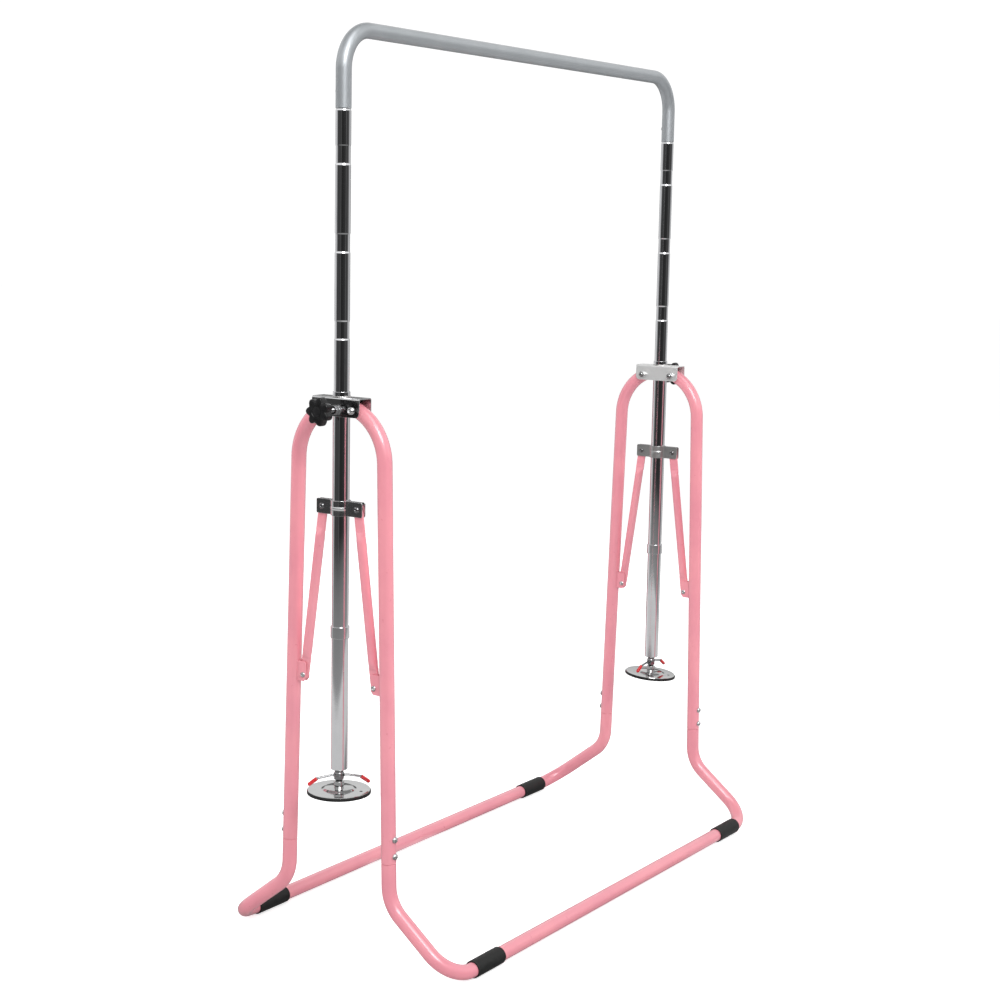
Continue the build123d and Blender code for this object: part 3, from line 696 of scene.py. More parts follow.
# ------------------------------------------------------------------ brackets
def u_bracket(s):
    """An inverted U pressed from 2 mm plate: rounded bends, rounded lower corners."""
    x = s * POST_X
    ro, ri = 3.6, 1.6
    sec = []  # (outer point, inner point) in (x, z)
    nz = 10
    zs = [BR_BOT + (BR_TOP - ro - BR_BOT) * (k / nz) ** 1.0 for k in range(nz + 1)]
    low = [BR_BOT + 9.0 * (1 - math.cos(math.pi / 2 * k / 8)) for k in range(9)]
    zs = sorted(set([round(z, 3) for z in low + [z for z in zs if z > BR_BOT + 9.5]]))
    for z in zs:
        sec.append(((-BR_X, z), (-BR_X + BR_T, z)))
    for k in range(1, 7):
        t = math.pi - math.pi / 2 * k / 6
        c = (-BR_X + ro, BR_TOP - ro)
        sec.append(((c[0] + ro * math.cos(t), c[1] + ro * math.sin(t)), (c[0] + ri * math.cos(t), c[1] + ri * math.sin(t))))
    for xx in (-9.0, -4.0, 0.0, 4.0, 9.0):
        sec.append(((xx, BR_TOP), (xx, BR_TOP - BR_T)))
    sec += [((-o[0], o[1]), (-i[0], i[1])) for o, i in reversed(sec[: len(sec) - 5])]
    verts, faces = [], []
    ny = 14
    for o, i in sec:
        z = o[1]
        cut = 0.0
        if z < BR_BOT + 9.0:
            d = 9.0 - (z - BR_BOT)
            cut = 9.0 - math.sqrt(max(0.0, 81.0 - d * d))
        half = BR_Y - cut
        for k in range(ny + 1):
            y = -half + 2 * half * k / ny
            verts.append((x + o[0], y, o[1]))
        for k in range(ny + 1):
            y = -half + 2 * half * k / ny
            verts.append((x + i[0], y, i[1]))
    w = 2 * (ny + 1)
    m = len(sec)
    for r_ in range(m - 1):
        A, B = r_ * w, (r_ + 1) * w
        for k in range(ny):
            faces.append((A + k, A + k + 1, B + k + 1, B + k))
            faces.append((A + ny + 1 + k, B + ny + 1 + k, B + ny + 2 + k, A + ny + 2 + k))
        faces.append((A, B, B + ny + 1, A + ny + 1))
        faces.append((A + ny, A + 2 * ny + 1, B + 2 * ny + 1, B + ny))
    for A in (0, (m - 1) * w):
        for k in range(ny):
            faces.append((A + k, A + k + 1, A + ny + 2 + k, A + ny + 1 + k))
    return verts, faces


for n, s in SIDES:
    x = s * POST_X
    v, f = u_bracket(s)
    # the right bracket takes the lighter copy of the pressing finish: painted light
    ob = put("bracket_plate_" + n, "bracket_" + n, v, f, sharp=40, bevel=0.45, mat=PRESSING_PAINTED_LIGHT if s > 0 else None)
    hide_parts("bracket_" + n)
    put("bracket_weld_" + n, "bracket_" + n, *bead(circle_pts((x, 0, BR_TOP + 0.3), POST_R + 0.5, n=220), 1.25, 3 + s, True), mat=WELD, sharp=60)

bolts, nuts = [], []
for n, s in SIDES:
    for en, e in ENDS:
        x, y = s * POST_X, e * PIV_Y
        bolts.append(button((x + s * BR_X, y, PIV_Z), (s, 0, 0), 13.4, 5.3, 5.0, 2.9, seg=60))
        v, f = lathe(rounded([(0, -BR_X - 9.9), (3.2, -BR_X - 9.9), (3.9, -BR_X - 9.2), (3.9, BR_X - 0.5), (0, BR_X - 0.5)], 0.2), (x, y, PIV_Z), (s, 0, 0), 32)
        bolts.append((v, f))
        nuts.append(hex_nut((x - s * BR_X, y, PIV_Z), (-s, 0, 0), 13.0, 7.0, 8.0))
ob = put("pivot_bolt_set", "pivot_bolts", *join(*bolts))
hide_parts("pivot_bolts")
ob = put("pivot_nut_set", "pivot_nuts", *join(*nuts))
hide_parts("pivot_nuts")
v, f = join(*[hex_nut((s * (POST_X + BR_X), 0, KNOB_Z), (s, 0, 0), 17.0, 8.0, 10.2, 60) for _, s in SIDES])
ob = put("boss_nut_set", "knob_boss_nuts", v, f, mat=HARDWARE_PAINTED_SHADE)
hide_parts("knob_boss_nuts")


# ------------------------------------------------------------------ clamp knobs
def star_r(t, inset=0.0):
    c = 0.5 + 0.5 * math.cos(7 * t)
    return 20.2 + 6.2 * c ** 0.72 - inset


def star_knob(s, seg=168):
    o = Vector((s * POST_X, 0, KNOB_Z))
    rings_def = [
        (lambda t: 5.3, 41.0), (lambda t: 9.6, 41.0), (lambda t: 10.4, 41.8), (lambda t: 10.7, 50.0), (lambda t: 11.6, 52.2),
        (lambda t: 14.0, 53.0), (lambda t: star_r(t, 3.2), 53.1), (lambda t: star_r(t, 1.4), 53.6), (lambda t: star_r(t, 0.35), 55.0),
        (lambda t: star_r(t, 0.0), 57.0), (lambda t: star_r(t, 0.0), 66.5), (lambda t: star_r(t, 0.4), 68.6), (lambda t: star_r(t, 1.5), 70.1),
        (lambda t: star_r(t, 3.4), 70.8), (lambda t: 14.0 + 0.25 * (star_r(t, 3.4) - 14.0), 71.0), (lambda t: 11.2, 70.9), (lambda t: 10.7, 70.5),
        (lambda t: 10.4, 69.7), (lambda t: 9.9, 69.6), (lambda t: 9.6, 70.1), (lambda t: 7.0, 70.5), (lambda t: 3.5, 70.7),
    ]
    verts, faces, rings = [], [], []
    for fn, h in rings_def:
        base = len(verts)
        for k in range(seg):
            t = 2 * math.pi * k / seg
            rr = fn(t)
            verts.append(o + Vector((s * h, rr * math.cos(t), rr * math.sin(t))))
        rings.append(base)
    for a, b in zip(rings, rings[1:]):
        for k in range(seg):
            j = (k + 1) % seg
            faces.append((a + k, a + j, b + j, b + k))
    c = len(verts)
    verts.append(o + Vector((s * 70.75, 0, 0)))
    for k in range(seg):
        faces.append((rings[-1] + k, rings[-1] + (k + 1) % seg, c))
    faces.append(tuple(rings[0] + k for k in reversed(range(seg))))
    return verts, faces


for n, s in SIDES:
    ob = put("star_knob_" + n, "knob_" + n, *star_knob(s), sharp=32)
    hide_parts("knob_" + n)
    # threaded screw: fine rings stand for the thread
    prof = [(0.0, 14.7), (4.0, 14.7)]
    h = 15.4
    while h < 47.0:
        prof += [(4.95, h), (4.35, h + 0.75)]
        h += 1.5
    prof += [(4.9, 47.6), (4.9, 58.0), (0.0, 58.0)]
    ob = put("clamp_screw_" + n, "knob_screw_" + n, *lathe(prof, (s * POST_X, 0, KNOB_Z), (s, 0, 0), 40), sharp=70, mat=HARDWARE_PAINTED_SHADE)
    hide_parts("knob_screw_" + n)

# ------------------------------------------------------------------ half frames
for en, e in ENDS:
    P = lambda x, yz: Vector((x, e * yz[0], yz[1]))
    for n, s in SIDES:
        x = s * POST_X
        pts = [P(x, (LEG_Y + 0.45 * UP[0], LEG_SEAM + 0.45)), P(x, ARC0)]
        na = 30
        for k in range(1, na + 1):
            t = th + (PHI - th) * k / na
            pts.append(P(x, (ARCC[0] + LEG_ARC * math.cos(t), ARCC[1] + LEG_ARC * math.sin(t))))
        pts.append(P(x, (PIV_Y - LEG_STUB * math.sin(PHI), PIV_Z + LEG_STUB * math.cos(PHI))))
        ob = put(f"{en}_leg_tube_{n}", f"{en}_leg_{n}", *tube_mesh(pts, TUBE_R, TUBE_IR, 72, 1.1), sharp=50)
        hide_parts(f"{en}_leg_{n}")
    pts = fillet_path(
        [(-POST_X, e * LEG_Y, LEG_SEAM), (-POST_X, e * BEND_Y, BEND_Z), (-POST_X, e * FLOOR_Y, FLOOR_Z),
         (POST_X, e * FLOOR_Y, FLOOR_Z), (POST_X, e * BEND_Y, BEND_Z), (POST_X, e * LEG_Y, LEG_SEAM)],
        [FOOT_BEND, FLOOR_CORNER, FLOOR_CORNER, FOOT_BEND], 2.5)
    parts = [tube_mesh(pts, TUBE_R, TUBE_IR, 72, 1.2)]
    for n, s in SIDES:
        x = s * POST_X
        at = lambda k: Vector((x, e * (LEG_Y + k * UP[0]), LEG_SEAM + k * UP[1]))
        parts.append(tube_mesh([at(-18), at(62)], 12.44, 10.75, 48, 0.5))
    ob = put(f"{en}_floor_bar_tube", f"{en}_floor_bar", *join(*parts), sharp=50)
    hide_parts(f"{en}_floor_bar")

    # rubber sleeves: slightly swollen, with rolled lips and a mould line
    parts = []
    for n, s in SIDES:
        o = (s * 478.0, e * FLOOR_Y, FLOOR_Z)
        R = 16.5
        prof = [(14.02, -43.2), (14.6, -43.9), (15.6, -44.0), (16.2, -43.5), (R, -42.4), (R, -40.5), (R - 0.22, -39.5), (R - 0.22, -38.6),
                (R - 0.02, -37.8), (R, -20), (R, 0.0), (R, 20), (R - 0.02, 37.8), (R - 0.22, 38.6), (R - 0.22, 39.5), (R, 40.5), (R, 42.4),
                (16.2, 43.5), (15.6, 44.0), (14.6, 43.9), (14.02, 43.2)]
        parts.append(lathe(prof, o, (1, 0, 0), 72, closed=True))
    ob = put(f"{en}_rubber_sleeves", f"{en}_floor_sleeves", *join(*parts), sharp=60)
    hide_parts(f"{en}_floor_sleeves")

    # leg bolts
    parts = []
    for n, s in SIDES:
        for k in (15.0, 47.0):
            z = LEG_SEAM + k * math.cos(th)
            y = e * (leg_y(z) + TUBE_R - 0.15)
            parts.append(button((s * POST_X, y, z), (0, e, 0), 12.4, 4.6, 4.2, 2.4))
    ob = put(f"{en}_leg_bolt_heads", f"{en}_leg_bolts", *join(*parts))
    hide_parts(f"{en}_leg_bolts")

    # lugs: two pressed ears with a clipped lower corner, joined by a web against the leg
    parts, welds, rivs = [], [], []
    z0, z1 = LUG_Z - 12.5, LUG_Z + 25.5
    inner = LUG_Y - 7.0
    for n, s in SIDES:
        x = s * POST_X
        outer_at = lambda z: leg_y(z) - 6.5
        outline = [(outer_at(z0), z0), (inner + 5.5, z0), (inner, z0 + 6.5), (inner, z1 - 3.0), (inner + 3.0, z1), (outer_at(z1), z1)]
        cnt = len(outline)
        for side in (-1, 1):
            a_, b_ = side * LUG_GAP / 2, side * (LUG_GAP / 2 + LUG_EAR)
            vv = [(x + a_, e * y, z) for y, z in outline] + [(x + b_, e * y, z) for y, z in outline]
            ff = [tuple(range(cnt)), tuple(reversed(range(cnt, 2 * cnt)))]
            ff += [(i, (i + 1) % cnt, cnt + (i + 1) % cnt, cnt + i) for i in range(cnt)]
            parts.append((vv, ff))
            for ww in ((z0 - 0.3, z1 + 0.3),):
                zz = [ww[0] + (ww[1] - ww[0]) * k / 60 for k in range(61)]
                xw = side * (LUG_GAP / 2 + LUG_EAR + 0.25)
                depth = math.sqrt(TUBE_R ** 2 - xw * xw)
                welds.append(bead([(x + xw, e * (leg_y(z) - depth - 0.15), z) for z in zz], 1.15, 11 + s + side + 2 * e))
        yy = [(inner + 20.0, z0 + 1), (inner + 20.0, z1 - 1)]
        web = [(leg_y(z0) - 15.9, z0 + 1), (leg_y(z0) - 13.2, z0 + 1), (leg_y(z1) - 13.2, z1 - 1), (leg_y(z1) - 15.9, z1 - 1)]
        vv = [(x - LUG_GAP / 2 - 0.2, e * y, z) for y, z in web] + [(x + LUG_GAP / 2 + 0.2, e * y, z) for y, z in web]
        ff = [(0, 1, 2, 3), (7, 6, 5, 4)] + [(i, (i + 1) % 4, 4 + (i + 1) % 4, 4 + i) for i in range(4)]
        parts.append((vv, ff))
        for side in (-1, 1):
            half = LUG_GAP / 2 + LUG_EAR
            rivs.append(button((x + side * half, e * LUG_Y, LUG_Z), (side, 0, 0), 10.6, 3.0, 3.6, 1.8))
        rivs.append(lathe([(0, -6.0), (2.95, -6.0), (2.95, 6.0), (0, 6.0)], (x, e * LUG_Y, LUG_Z), (1, 0, 0), 24))
    ob = put(f"{en}_lug_plates", f"{en}_brace_lugs", *join(*parts), sharp=35, bevel=0.55)
    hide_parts(f"{en}_brace_lugs")
    put(f"{en}_lug_welds", f"{en}_brace_lugs", *join(*welds), sharp=60)
    ob = put(f"{en}_lug_rivet_set", f"{en}_lug_rivets", *join(*rivs))
    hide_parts(f"{en}_lug_rivets")


# ------------------------------------------------------------------ collars
def collar_half(s, k):
    """One pressed half: wings, a half band with a raised rib, rounded wing tips."""
    x = s * POST_X
    side = s * k
    gap = LUG_GAP / 2
    mid_r = COL_IR + COL_T / 2
    xm = gap + COL_T / 2
    y_hit = math.sqrt(mid_r ** 2 - xm ** 2)
    plan = []
    tip = [COL_Y - d for d in (0.0, 0.4, 1.0, 1.9, 3.0)]
    for y in tip:
        plan.append((xm, y))
    for k2 in range(1, 9):
        plan.append((xm, tip[-1] + (y_hit + 1.5 - tip[-1]) * k2 / 8))
    a0 = math.atan2(y_hit, xm)
    for k2 in range(33):
        t = a0 - 2 * a0 * k2 / 32
        plan.append((mid_r * math.cos(t), mid_r * math.sin(t)))
    plan += [(p[0], -p[1]) for p in reversed(plan[:13])]
    P = np.array(plan)
    lo, hi = 10, len(P) - 10
    for _ in range(3):
        Q = P.copy()
        for i in list(range(lo, 17)) + list(range(len(P) - 17, hi)):
            Q[i] = 0.25 * P[i - 1] + 0.5 * P[i] + 0.25 * P[i + 1]
        P = Q
    T = np.gradient(P, axis=0)
    T /= np.linalg.norm(T, axis=1)[:, None]
    N = np.stack([-T[:, 1], T[:, 0]], 1)
    # outward is away from the post axis / positive x
    if N[len(P) // 2][0] < 0:
        N = -N
    H = COL_H / 2
    rows = [-1, -0.9, -0.6, -0.30, -0.22, -0.15, -0.08, 0, 0.08, 0.15, 0.22, 0.30, 0.6, 0.9, 1]
    verts, faces = [], []
    cols = len(P)
    for layer in (0, 1):
        for rj in rows:
            for i in range(cols):
                d = COL_Y - abs(P[i][1])
                h = H
                if d < 3.0:
                    h = H - (3.0 - math.sqrt(max(0.0, 9.0 - (3.0 - d) ** 2)))
                z = COL_Z + rj * h
                off = COL_T / 2 if layer == 0 else -COL_T / 2
                rad = math.hypot(P[i][0], P[i][1])
                onband = max(0.0, min(1.0, (P[i][0] - 6.5) / 3.0))
                if layer == 0:
                    off += onband * 0.9 * math.exp(-((rj * H) / 2.1) ** 2)
                px = P[i][0] + N[i][0] * off
                py = P[i][1] + N[i][1] * off
                verts.append((x + side * px, py, z))
    nr = len(rows)
    base2 = nr * cols
    for rj in range(nr - 1):
        for i in range(cols - 1):
            a = rj * cols + i
            faces.append((a, a + 1, a + cols + 1, a + cols))
            b = base2 + a
            faces.append((b, b + cols, b + cols + 1, b + 1))
    for i in range(cols - 1):
        faces.append((i, base2 + i, base2 + i + 1, i + 1))
        a = (nr - 1) * cols + i
        faces.append((a, a + 1, base2 + a + 1, base2 + a))
    for rj in range(nr - 1):
        a = rj * cols
        faces.append((a, a + cols, base2 + a + cols, base2 + a))
        a += cols - 1
        faces.append((a, base2 + a, base2 + a + cols, a + cols))
    return verts, faces


for n, s in SIDES:
    x = s * POST_X
    for part, k in (("outer", 1), ("inner", -1)):
        # the right collars take the darker copy of the pressing finish: painted shade
        ob = put(f"collar_{part}_plate_{n}", f"collar_{part}_{n}", *collar_half(s, k), sharp=40, bevel=0.4, mat=PRESSING_PAINTED_SHADE if s > 0 else None)
        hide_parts(f"collar_{part}_{n}")
    rivs = []
    for y in (-COL_RIV, COL_RIV):
        for k in (-1, 1):
            b_ = LUG_GAP / 2 + COL_T
            rivs.append(button((x + k * b_, y, COL_Z), (k, 0, 0), 10.6, 3.0, 3.6, 1.8))
            rivs.append(lathe([(0, 0), (2.9, 0), (2.9, 2.4), (0, 2.4)], (x + k * (LUG_GAP / 2 + 0.2), y, COL_Z), (k, 0, 0), 24))
    ob = put("collar_rivet_set_" + n, "collar_rivets_" + n, *join(*rivs), mat=HARDWARE_PAINTED_SHADE)
    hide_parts("collar_rivets_" + n)

# ------------------------------------------------------------------ braces
BR_L = math.hypot(LUG_Y - COL_RIV, COL_Z - LUG_Z)
FLAT, FLAT_TOP, BLEND, RB, FW, FT, TIP = 29.0, 39.0, 20.0, 9.0, 20.0, 5.0, 8.5


def brace_mesh(s, e, seg=64):
    o = Vector((s * POST_X, e * LUG_Y, LUG_Z))
    w = Vector((0, e * (COL_RIV - LUG_Y), COL_Z - LUG_Z)).normalized()
    u = Vector((s, 0, 0))
    v = w.cross(u)
    def end(run):
        st = []
        tip_z = [-TIP * math.cos(math.pi / 2 * k / 10) for k in range(11)]
        for z in tip_z[1:]:
            hw = math.sqrt(max(0.0, TIP ** 2 - z * z))
            st.append((z, max(hw, 0.8), FT / 2 - (0.9 if z < -TIP + 0.6 else 0.0), 5.0))
        st.append((8.0, FW / 2, FT / 2, 5.0))
        st.append(((8.0 + run) / 2, FW / 2, FT / 2, 5.0))
        nb = 22
        for k in range(nb + 1):
            t = k / nb
            f = t * t * (3 - 2 * t)
            z = run - 4 + (BLEND + 4) * t
            hx = FT / 2 + (RB - FT / 2) * f
            hw = FW / 2 + (RB - FW / 2) * f
            crease = 0.35 * math.exp(-((t - 0.10) / 0.05) ** 2) - 0.30 * math.exp(-((t - 0.30) / 0.06) ** 2)
            st.append((z, hw, hx + crease, 5.0 + (2.0 - 5.0) * min(1.0, f * 1.6)))
        return st

    st = end(FLAT)
    full = st + [(BR_L - z, hw, hx, p) for z, hw, hx, p in reversed(end(FLAT_TOP))]
    verts, faces = [], []
    for z, hw, hx, p in full:
        for k in range(seg):
            t = 2 * math.pi * k / seg
            c, q = math.cos(t), math.sin(t)
            cx = math.copysign(abs(c) ** (2 / p), c) * hx
            cy = math.copysign(abs(q) ** (2 / p), q) * hw
            verts.append(o + w * z + u * cx + v * cy)
    m = len(full)
    for i in range(m - 1):
        a, b = i * seg, (i + 1) * seg
        for k in range(seg):
            j = (k + 1) % seg
            faces.append((a + k, a + j, b + j, b + k))
    faces.append(tuple(reversed(range(seg))))
    faces.append(tuple((m - 1) * seg + k for k in range(seg)))
    return verts, faces


for en, e in ENDS:
    for n, s in SIDES:
        ob = put(f"{en}_brace_tube_{n}", f"{en}_brace_{n}", *brace_mesh(s, e), sharp=42)
        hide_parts(f"{en}_brace_{n}")

# ------------------------------------------------------------------ suction feet
HANDLE_RZ = [(7.0, HANDLE_Z), (15.0, HANDLE_Z), (41.0, 348.5), (57.0, 337.0)]


def tilt(s, verts):
    if CUP_TILT[s] == 0:
        return verts
    o = Vector((s * POST_X, 0, BALL_Z))
    R = Matrix.Rotation(math.radians(CUP_TILT[s]), 3, TILT_AXIS)
    return [o + R @ (Vector(v) - o) for v in verts]


for n, s in SIDES:
    x = s * POST_X
    # stud with thread rings and a ball
    prof = [(0.0, BALL_Z - 7.0)]
    for k in range(1, 16):
        t = -math.pi / 2 + (math.pi / 2 + 0.72) * k / 15
        prof.append((7.0 * math.cos(t), BALL_Z + 7.0 * math.sin(t)))
    prof += [(4.6, BALL_Z + 5.6), (4.6, BALL_Z + 6.4)]
    z = BALL_Z + 7.0
    while z < 375.0:
        prof += [(4.98, z), (4.3, z + 0.75)]
        z += 1.5
    prof += [(4.98, 376.0), (4.98, 404.0), (4.0, 405.0), (0.0, 405.0)]
    ob = put("stud_" + n, "foot_stud_" + n, *lathe(prof, (x, 0, 0), seg=40), sharp=70, mat=HARDWARE_PAINTED_SHADE)
    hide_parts("foot_stud_" + n)
    # hub: hexagon with a round neck
    hexp = hex_nut((x, 0, 345.0), (0, 0, 1), 17.0, 8.4, 10.1, 60)
    neck = lathe(rounded([(5.1, 352.5), (9.5, 352.5), (9.5, 357.0), (8.2, 359.5), (8.2, 363.0), (5.1, 363.0)], 0.6, 3, True), (x, 0, 0), seg=56, closed=True)
    ob = put("hub_" + n, "handle_hub_" + n, *join(hexp, neck), sharp=34, mat=HARDWARE_PAINTED_SHADE)
    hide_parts("handle_hub_" + n)
    rods, grips = [], []
    for k in (0, 180):
        a_ = math.radians(HANDLE_AZ[s] + k)
        d = Vector((math.cos(a_), math.sin(a_), 0))
        P3 = [Vector((x, 0, 0)) + d * rr + Vector((0, 0, zz)) for rr, zz in HANDLE_RZ]
        path = fillet_path(P3, [9.0, 6.0], 5.0)
        rods.append(tube_mesh(path, 2.25, None, 24, 0.4))
        # welded eye where the rod meets the hub
        rods.append(bead(circle_pts((0, 0, 0), 2.6, "x", 40), 0.7, 31 + s + k, True))
        vv = rods[-1][0]
        rot = Matrix.Rotation(a_, 3, "Z")
        rods[-1] = ([rot @ Vector(q) + Vector((x, 0, HANDLE_Z)) + d * 9.6 for q in vv], rods[-1][1])
        g0, g1 = P3[2], P3[3]
        dirv = (g1 - g0).normalized()
        L0, L1 = 0.4, (g1 - g0).length + 1.5
        prof = [(2.3, L0 + 0.2), (3.2, L0), (3.65, L0 + 0.35), (3.8, L0 + 1.0), (3.55, L0 + 1.8), (3.6, L0 + 4), (3.7, L0 + 7), (3.6, L1 - 3.2)]
        for q in range(1, 8):
            t = q / 7 * math.pi / 2
            prof.append((3.6 * math.cos(t), L1 - 3.2 + 3.2 * math.sin(t)))
        prof[-1] = (0.0, L1)
        grips.append(lathe([(0.0, L0 + 0.4)] + prof, g0, dirv, 36))
    ob = put("handle_rod_set_" + n, "handle_rods_" + n, *join(*rods), sharp=60, mat=HARDWARE_PAINTED_SHADE)
    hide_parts("handle_rods_" + n)
    ob = put("vinyl_grips_" + n, "handle_grips_" + n, *join(*grips), sharp=60)
    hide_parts("handle_grips_" + n)
    # plate: flat rim with a turned edge, domed centre, ball socket
    zt = PAD_Z + PAD_T
    T = PLATE_T
    topp = [(58.5, zt + T * 0.5), (58.2, zt + T * 0.95), (57.3, zt + T), (45.0, zt + T + 0.15), (36.0, zt + T + 0.1)]
    for k in range(13):
        t = k / 12
        f_ = t * t * (3 - 2 * t)
        topp.append((34.0 - 8.5 * t, zt + T + 0.1 + 3.9 * f_))
    topp += [(20.0, zt + T + 5.0), (14.0, zt + T + 5.9), (11.2, zt + 7.9), (10.0, zt + 8.4), (9.9, BALL_Z + 5.2), (9.3, BALL_Z + 5.9), (6.6, BALL_Z + 6.0),
             (6.4, BALL_Z + 5.2), (6.4, BALL_Z + 3.0), (7.05, BALL_Z + 1.0), (7.05, BALL_Z - 1.0), (5.0, BALL_Z - 5.0), (0.0, BALL_Z - 7.1)]
    under = [(0.0, zt + 4.2), (12.0, zt + 4.2), (25.0, zt + 3.4), (33.0, zt + 0.02), (58.0, zt + 0.02)]
    prof = under + topp
    v, f = lathe(prof, (x, 0, 0), seg=128)
    ob = put("cup_plate_" + n, "suction_plate_" + n, tilt(s, v), f, sharp=34, mat=DISC_PAINTED_SHADE)
    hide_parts("suction_plate_" + n)
    # the vent hole in the rim, with the rubber showing through
    v, f = lathe([(0.0, 0.06), (2.2, 0.06), (2.5, 0.10), (2.9, 0.16), (3.1, 0.02)], (x + 12.7, -42.5, zt + T + 0.12), (0, 0, 1), 32)
    put("cup_vent_" + n, "suction_plate_" + n, tilt(s, v), f, mat=MATS["black_rubber"], slot="black_rubber")
    zb = PAD_Z
    prof = [(0.0, zb + 3.0), (30.0, zb + 2.4), (50.0, zb + 0.9), (55.0, zb + 0.05), (58.6, zb), (59.6, zb + 0.4), (60.0, zb + 1.3), (60.0, zb + 3.9), (59.7, zb + 4.9),
            (58.9, zb + 5.5), (58.0, zb + 5.48), (40.0, zb + 5.48), (28.0, zb + 5.48), (27.0, zb + 4.2), (0.0, zb + 4.2)]
    v, f = lathe(prof, (x, 0, 0), seg=128)
    ob = put("cup_pad_" + n, "suction_pad_" + n, tilt(s, v), f, sharp=50)
    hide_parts("suction_pad_" + n)

# CAD pieces that are not hidden keep their shape and take the same finishes
for name, obn in NODES.items():
    if not obn.hide_render:
        obn.data.materials.clear()
        obn.data.materials.append(MATS[SLOT[name]])

# ------------------------------------------------------------------ floor, world, lights
CAM_DIR = Vector((C_POS.x, C_POS.y, 0)).normalized()
FLOOR_LIFT = 0.62

SIDE_DIR = Vector((CAM_DIR.y, -CAM_DIR.x, 0))
AZ_STOPS = [(-180, 0.14), (-164, 0.12), (-152, 0.22), (-146, 0.48), (-116, 0.66), (-106, 0.42), (-98, 0.14), (-76, 0.06), (-58, 0.045), (-52, 0.16), (-47, 0.04),
            (-20, 0.03), (0, 0.022), (18, 0.03), (23, 0.12), (29, 0.045), (52, 0.06), (70, 0.045), (84, 0.08), (90, 0.50), (95, 0.85), (99, 0.28), (106, 0.32),
            (112, 0.72), (120, 0.86), (138, 0.80), (149, 0.26), (164, 0.12), (180, 0.14)]


def azimuth_ramp(nt, vec):
    """Grey panels round the object: a dark camera side, bright sides, a darker back."""
    def dotted(v):
        d = nt.nodes.new("ShaderNodeVectorMath")
        d.operation = "DOT_PRODUCT"
        d.inputs[1].default_value = v
        nt.links.new(vec, d.inputs[0])
        return d.outputs["Value"]

    at = nt.nodes.new("ShaderNodeMath")
    at.operation = "ARCTAN2"
    nt.links.new(dotted(SIDE_DIR), at.inputs[0])
    nt.links.new(dotted(CAM_DIR), at.inputs[1])
    ang = nt.nodes.new("ShaderNodeMapRange")
    ang.inputs["From Min"].default_value = -math.pi
    ang.inputs["From Max"].default_value = math.pi
    nt.links.new(at.outputs[0], ang.inputs["Value"])
    cr = nt.nodes.new("ShaderNodeValToRGB")
    el = cr.color_ramp.elements
    while len(el) > 1:
        el.remove(el[-1])
    for i, (deg, val) in enumerate(AZ_STOPS):
        k = el[0] if i == 0 else el.new((deg + 180) / 360)
        k.position = (deg + 180) / 360
        k.color = (val, val, val * 1.01, 1)
    nt.links.new(ang.outputs["Result"], cr.inputs["Fac"])
    return cr.outputs["Color"]


fm = bpy.data.materials.new("studio_floor")
fm.use_nodes = True
nt = fm.node_tree
nt.nodes.clear()
out = nt.nodes.new("ShaderNodeOutputMaterial")
dif = nt.nodes.new("ShaderNodeBsdfDiffuse")
dif.inputs["Color"].default_value = (0.80, 0.80, 0.80, 1)
lift = nt.nodes.new("ShaderNodeEmission")
lift.inputs["Color"].default_value = (1, 1, 1, 1)
em = nt.nodes.new("ShaderNodeEmission")
add = nt.nodes.new("ShaderNodeAddShader")
mixs = nt.nodes.new("ShaderNodeMixShader")
lp = nt.nodes.new("ShaderNodeLightPath")
mul = nt.nodes.new("ShaderNodeMath")
mul.operation = "MULTIPLY"
mul.inputs[1].default_value = FLOOR_LIFT
nt.links.new(lp.outputs["Is Camera Ray"], mul.inputs[0])
nt.links.new(mul.outputs[0], lift.inputs["Strength"])
nt.links.new(dif.outputs["BSDF"], add.inputs[0])
nt.links.new(lift.outputs["Emission"], add.inputs[1])
geo = nt.nodes.new("ShaderNodeNewGeometry")
far = nt.nodes.new("ShaderNodeVectorMath")
far.operation = "LENGTH"
nt.links.new(geo.outputs["Position"], far.inputs[0])
mr = nt.nodes.new("ShaderNodeMapRange")
mr.inputs["From Min"].default_value = 0.0
mr.inputs["From Max"].default_value = 8.0
nt.links.new(far.outputs["Value"], mr.inputs["Value"])
fr_ = nt.nodes.new("ShaderNodeValToRGB")
fl = fr_.color_ramp.elements
while len(fl) > 1:
    fl.remove(fl[-1])
for i, (dist, val) in enumerate([(0.0, 0.22), (1.0, 0.26), (1.3, 0.64), (2.35, 0.66), (2.6, 0.30), (4.2, 0.17), (5.2, 0.02), (8.0, 0.0)]):
    k = fl[0] if i == 0 else fl.new(dist / 8.0)
    k.position = dist / 8.0
    k.color = (val, val, val, 1)
nt.links.new(mr.outputs["Result"], fr_.inputs["Fac"])
lay = nt.nodes.new("ShaderNodeMix")
lay.data_type = "RGBA"
lay.blend_type = "LIGHTEN"
lay.inputs[0].default_value = 1.0
nt.links.new(azimuth_ramp(nt, geo.outputs["Position"]), lay.inputs[6])
nt.links.new(fr_.outputs["Color"], lay.inputs[7])
nt.links.new(lay.outputs[2], em.inputs["Color"])
nt.links.new(lp.outputs["Is Glossy Ray"], mixs.inputs["Fac"])
nt.links.new(add.outputs[0], mixs.inputs[1])
nt.links.new(em.outputs["Emission"], mixs.inputs[2])
nt.links.new(mixs.outputs["Shader"], out.inputs["Surface"])
me = bpy.data.meshes.new("studio_floor")
S = 30.0
me.from_pydata([(-S, -S, 0), (S, -S, 0), (S, S, 0), (-S, S, 0)], [], [(0, 1, 2, 3)])
me.materials.append(fm)
floor = bpy.data.objects.new("studio_floor", me)
bpy.context.scene.collection.objects.link(floor)

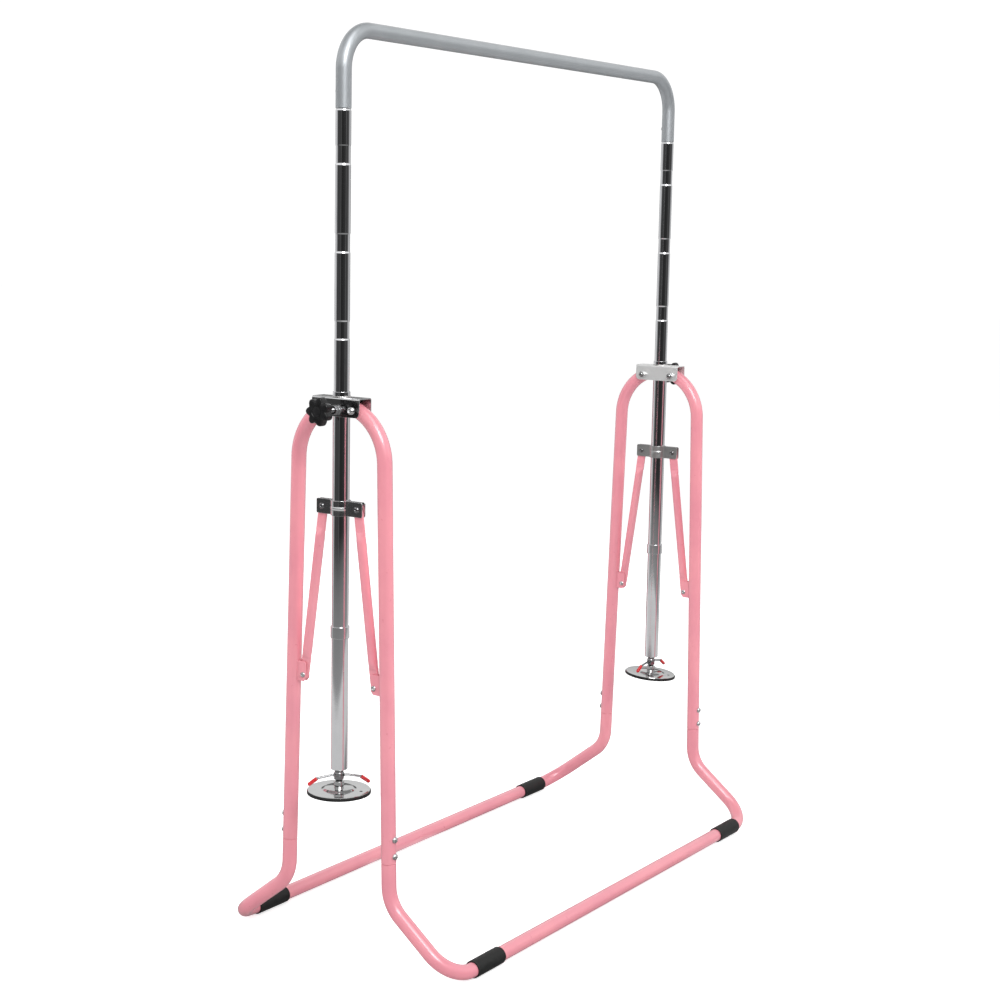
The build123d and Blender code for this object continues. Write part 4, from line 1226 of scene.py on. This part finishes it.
world = bpy.data.worlds.new("studio")
bpy.context.scene.world = world
world.use_nodes = True
nt = world.node_tree
nt.nodes.clear()
out = nt.nodes.new("ShaderNodeOutputWorld")
bg_plain = nt.nodes.new("ShaderNodeBackground")
bg_plain.inputs["Color"].default_value = (1, 1, 1, 1)
lit = nt.nodes.new("ShaderNodeLightPath")
st_ = nt.nodes.new("ShaderNodeMapRange")
st_.inputs["To Min"].default_value = 0.50
st_.inputs["To Max"].default_value = 1.05
nt.links.new(lit.outputs["Is Camera Ray"], st_.inputs["Value"])
nt.links.new(st_.outputs["Result"], bg_plain.inputs["Strength"])
bg_gloss = nt.nodes.new("ShaderNodeBackground")
mixw = nt.nodes.new("ShaderNodeMixShader")
lp = nt.nodes.new("ShaderNodeLightPath")
tc = nt.nodes.new("ShaderNodeTexCoord")
flat = nt.nodes.new("ShaderNodeVectorMath")
flat.operation = "MULTIPLY"
flat.inputs[1].default_value = (1, 1, 0)
nt.links.new(tc.outputs["Generated"], flat.inputs[0])
nrm = nt.nodes.new("ShaderNodeVectorMath")
nrm.operation = "NORMALIZE"
nt.links.new(flat.outputs[0], nrm.inputs[0])


az_col = azimuth_ramp(nt, nrm.outputs[0])
sep = nt.nodes.new("ShaderNodeSeparateXYZ")
nt.links.new(tc.outputs["Generated"], sep.inputs[0])
hi = nt.nodes.new("ShaderNodeMapRange")
hi.interpolation_type = "SMOOTHSTEP"
hi.inputs["From Min"].default_value = 0.08
hi.inputs["From Max"].default_value = 0.30
nt.links.new(sep.outputs["Z"], hi.inputs["Value"])
mc = nt.nodes.new("ShaderNodeMix")
mc.data_type = "RGBA"
nt.links.new(hi.outputs["Result"], mc.inputs[0])
nt.links.new(az_col, mc.inputs[6])
high = nt.nodes.new("ShaderNodeMapRange")
high.interpolation_type = "SMOOTHSTEP"
high.inputs["From Min"].default_value = 0.62
high.inputs["From Max"].default_value = 0.74
high.inputs["To Min"].default_value = 1.0
high.inputs["To Max"].default_value = 0.38
nt.links.new(sep.outputs["Z"], high.inputs["Value"])
nt.links.new(high.outputs["Result"], mc.inputs[7])
box_dir = (CAM_DIR * 0.42 - SIDE_DIR * 0.28 + Vector((0, 0, 1.0))).normalized()
bd = nt.nodes.new("ShaderNodeVectorMath")
bd.operation = "DOT_PRODUCT"
bd.inputs[1].default_value = box_dir
nt.links.new(tc.outputs["Generated"], bd.inputs[0])
bm_ = nt.nodes.new("ShaderNodeMapRange")
bm_.interpolation_type = "SMOOTHSTEP"
bm_.inputs["From Min"].default_value = 0.93
bm_.inputs["From Max"].default_value = 0.975
nt.links.new(bd.outputs["Value"], bm_.inputs["Value"])
mb = nt.nodes.new("ShaderNodeMix")
mb.data_type = "RGBA"
nt.links.new(bm_.outputs["Result"], mb.inputs[0])
nt.links.new(mc.outputs[2], mb.inputs[6])
mb.inputs[7].default_value = (3.2, 3.2, 3.2, 1)
nt.links.new(mb.outputs[2], bg_gloss.inputs["Color"])
nt.links.new(lp.outputs["Is Glossy Ray"], mixw.inputs["Fac"])
nt.links.new(bg_plain.outputs[0], mixw.inputs[1])
nt.links.new(bg_gloss.outputs[0], mixw.inputs[2])
nt.links.new(mixw.outputs[0], out.inputs["Surface"])


def area(name, loc, target, size, power, glossy=False):
    d = bpy.data.lights.new(name, "AREA")
    d.shape = "RECTANGLE"
    d.size, d.size_y = size
    d.energy = power
    o = bpy.data.objects.new(name, d)
    bpy.context.scene.collection.objects.link(o)
    o.location = loc
    o.rotation_euler = (Vector(target) - Vector(loc)).to_track_quat("-Z", "Y").to_euler()
    o.visible_glossy = glossy
    o.visible_camera = False
    return o


area("key", C_POS * 0.86 + Vector((0.3, -0.9, 2.3)), (0, 0, 0.8), (2.3, 1.7), 119, True)
area("side", (1.6, -3.4, 1.9), (0, 0, 0.8), (1.2, 2.6), 45)
area("rim", (-2.6, 3.2, 2.0), (0, 0, 0.8), (1.2, 2.6), 60)
area("back", (2.6, 2.6, 2.4), (0, 0, 0.8), (2.0, 2.0), 55)
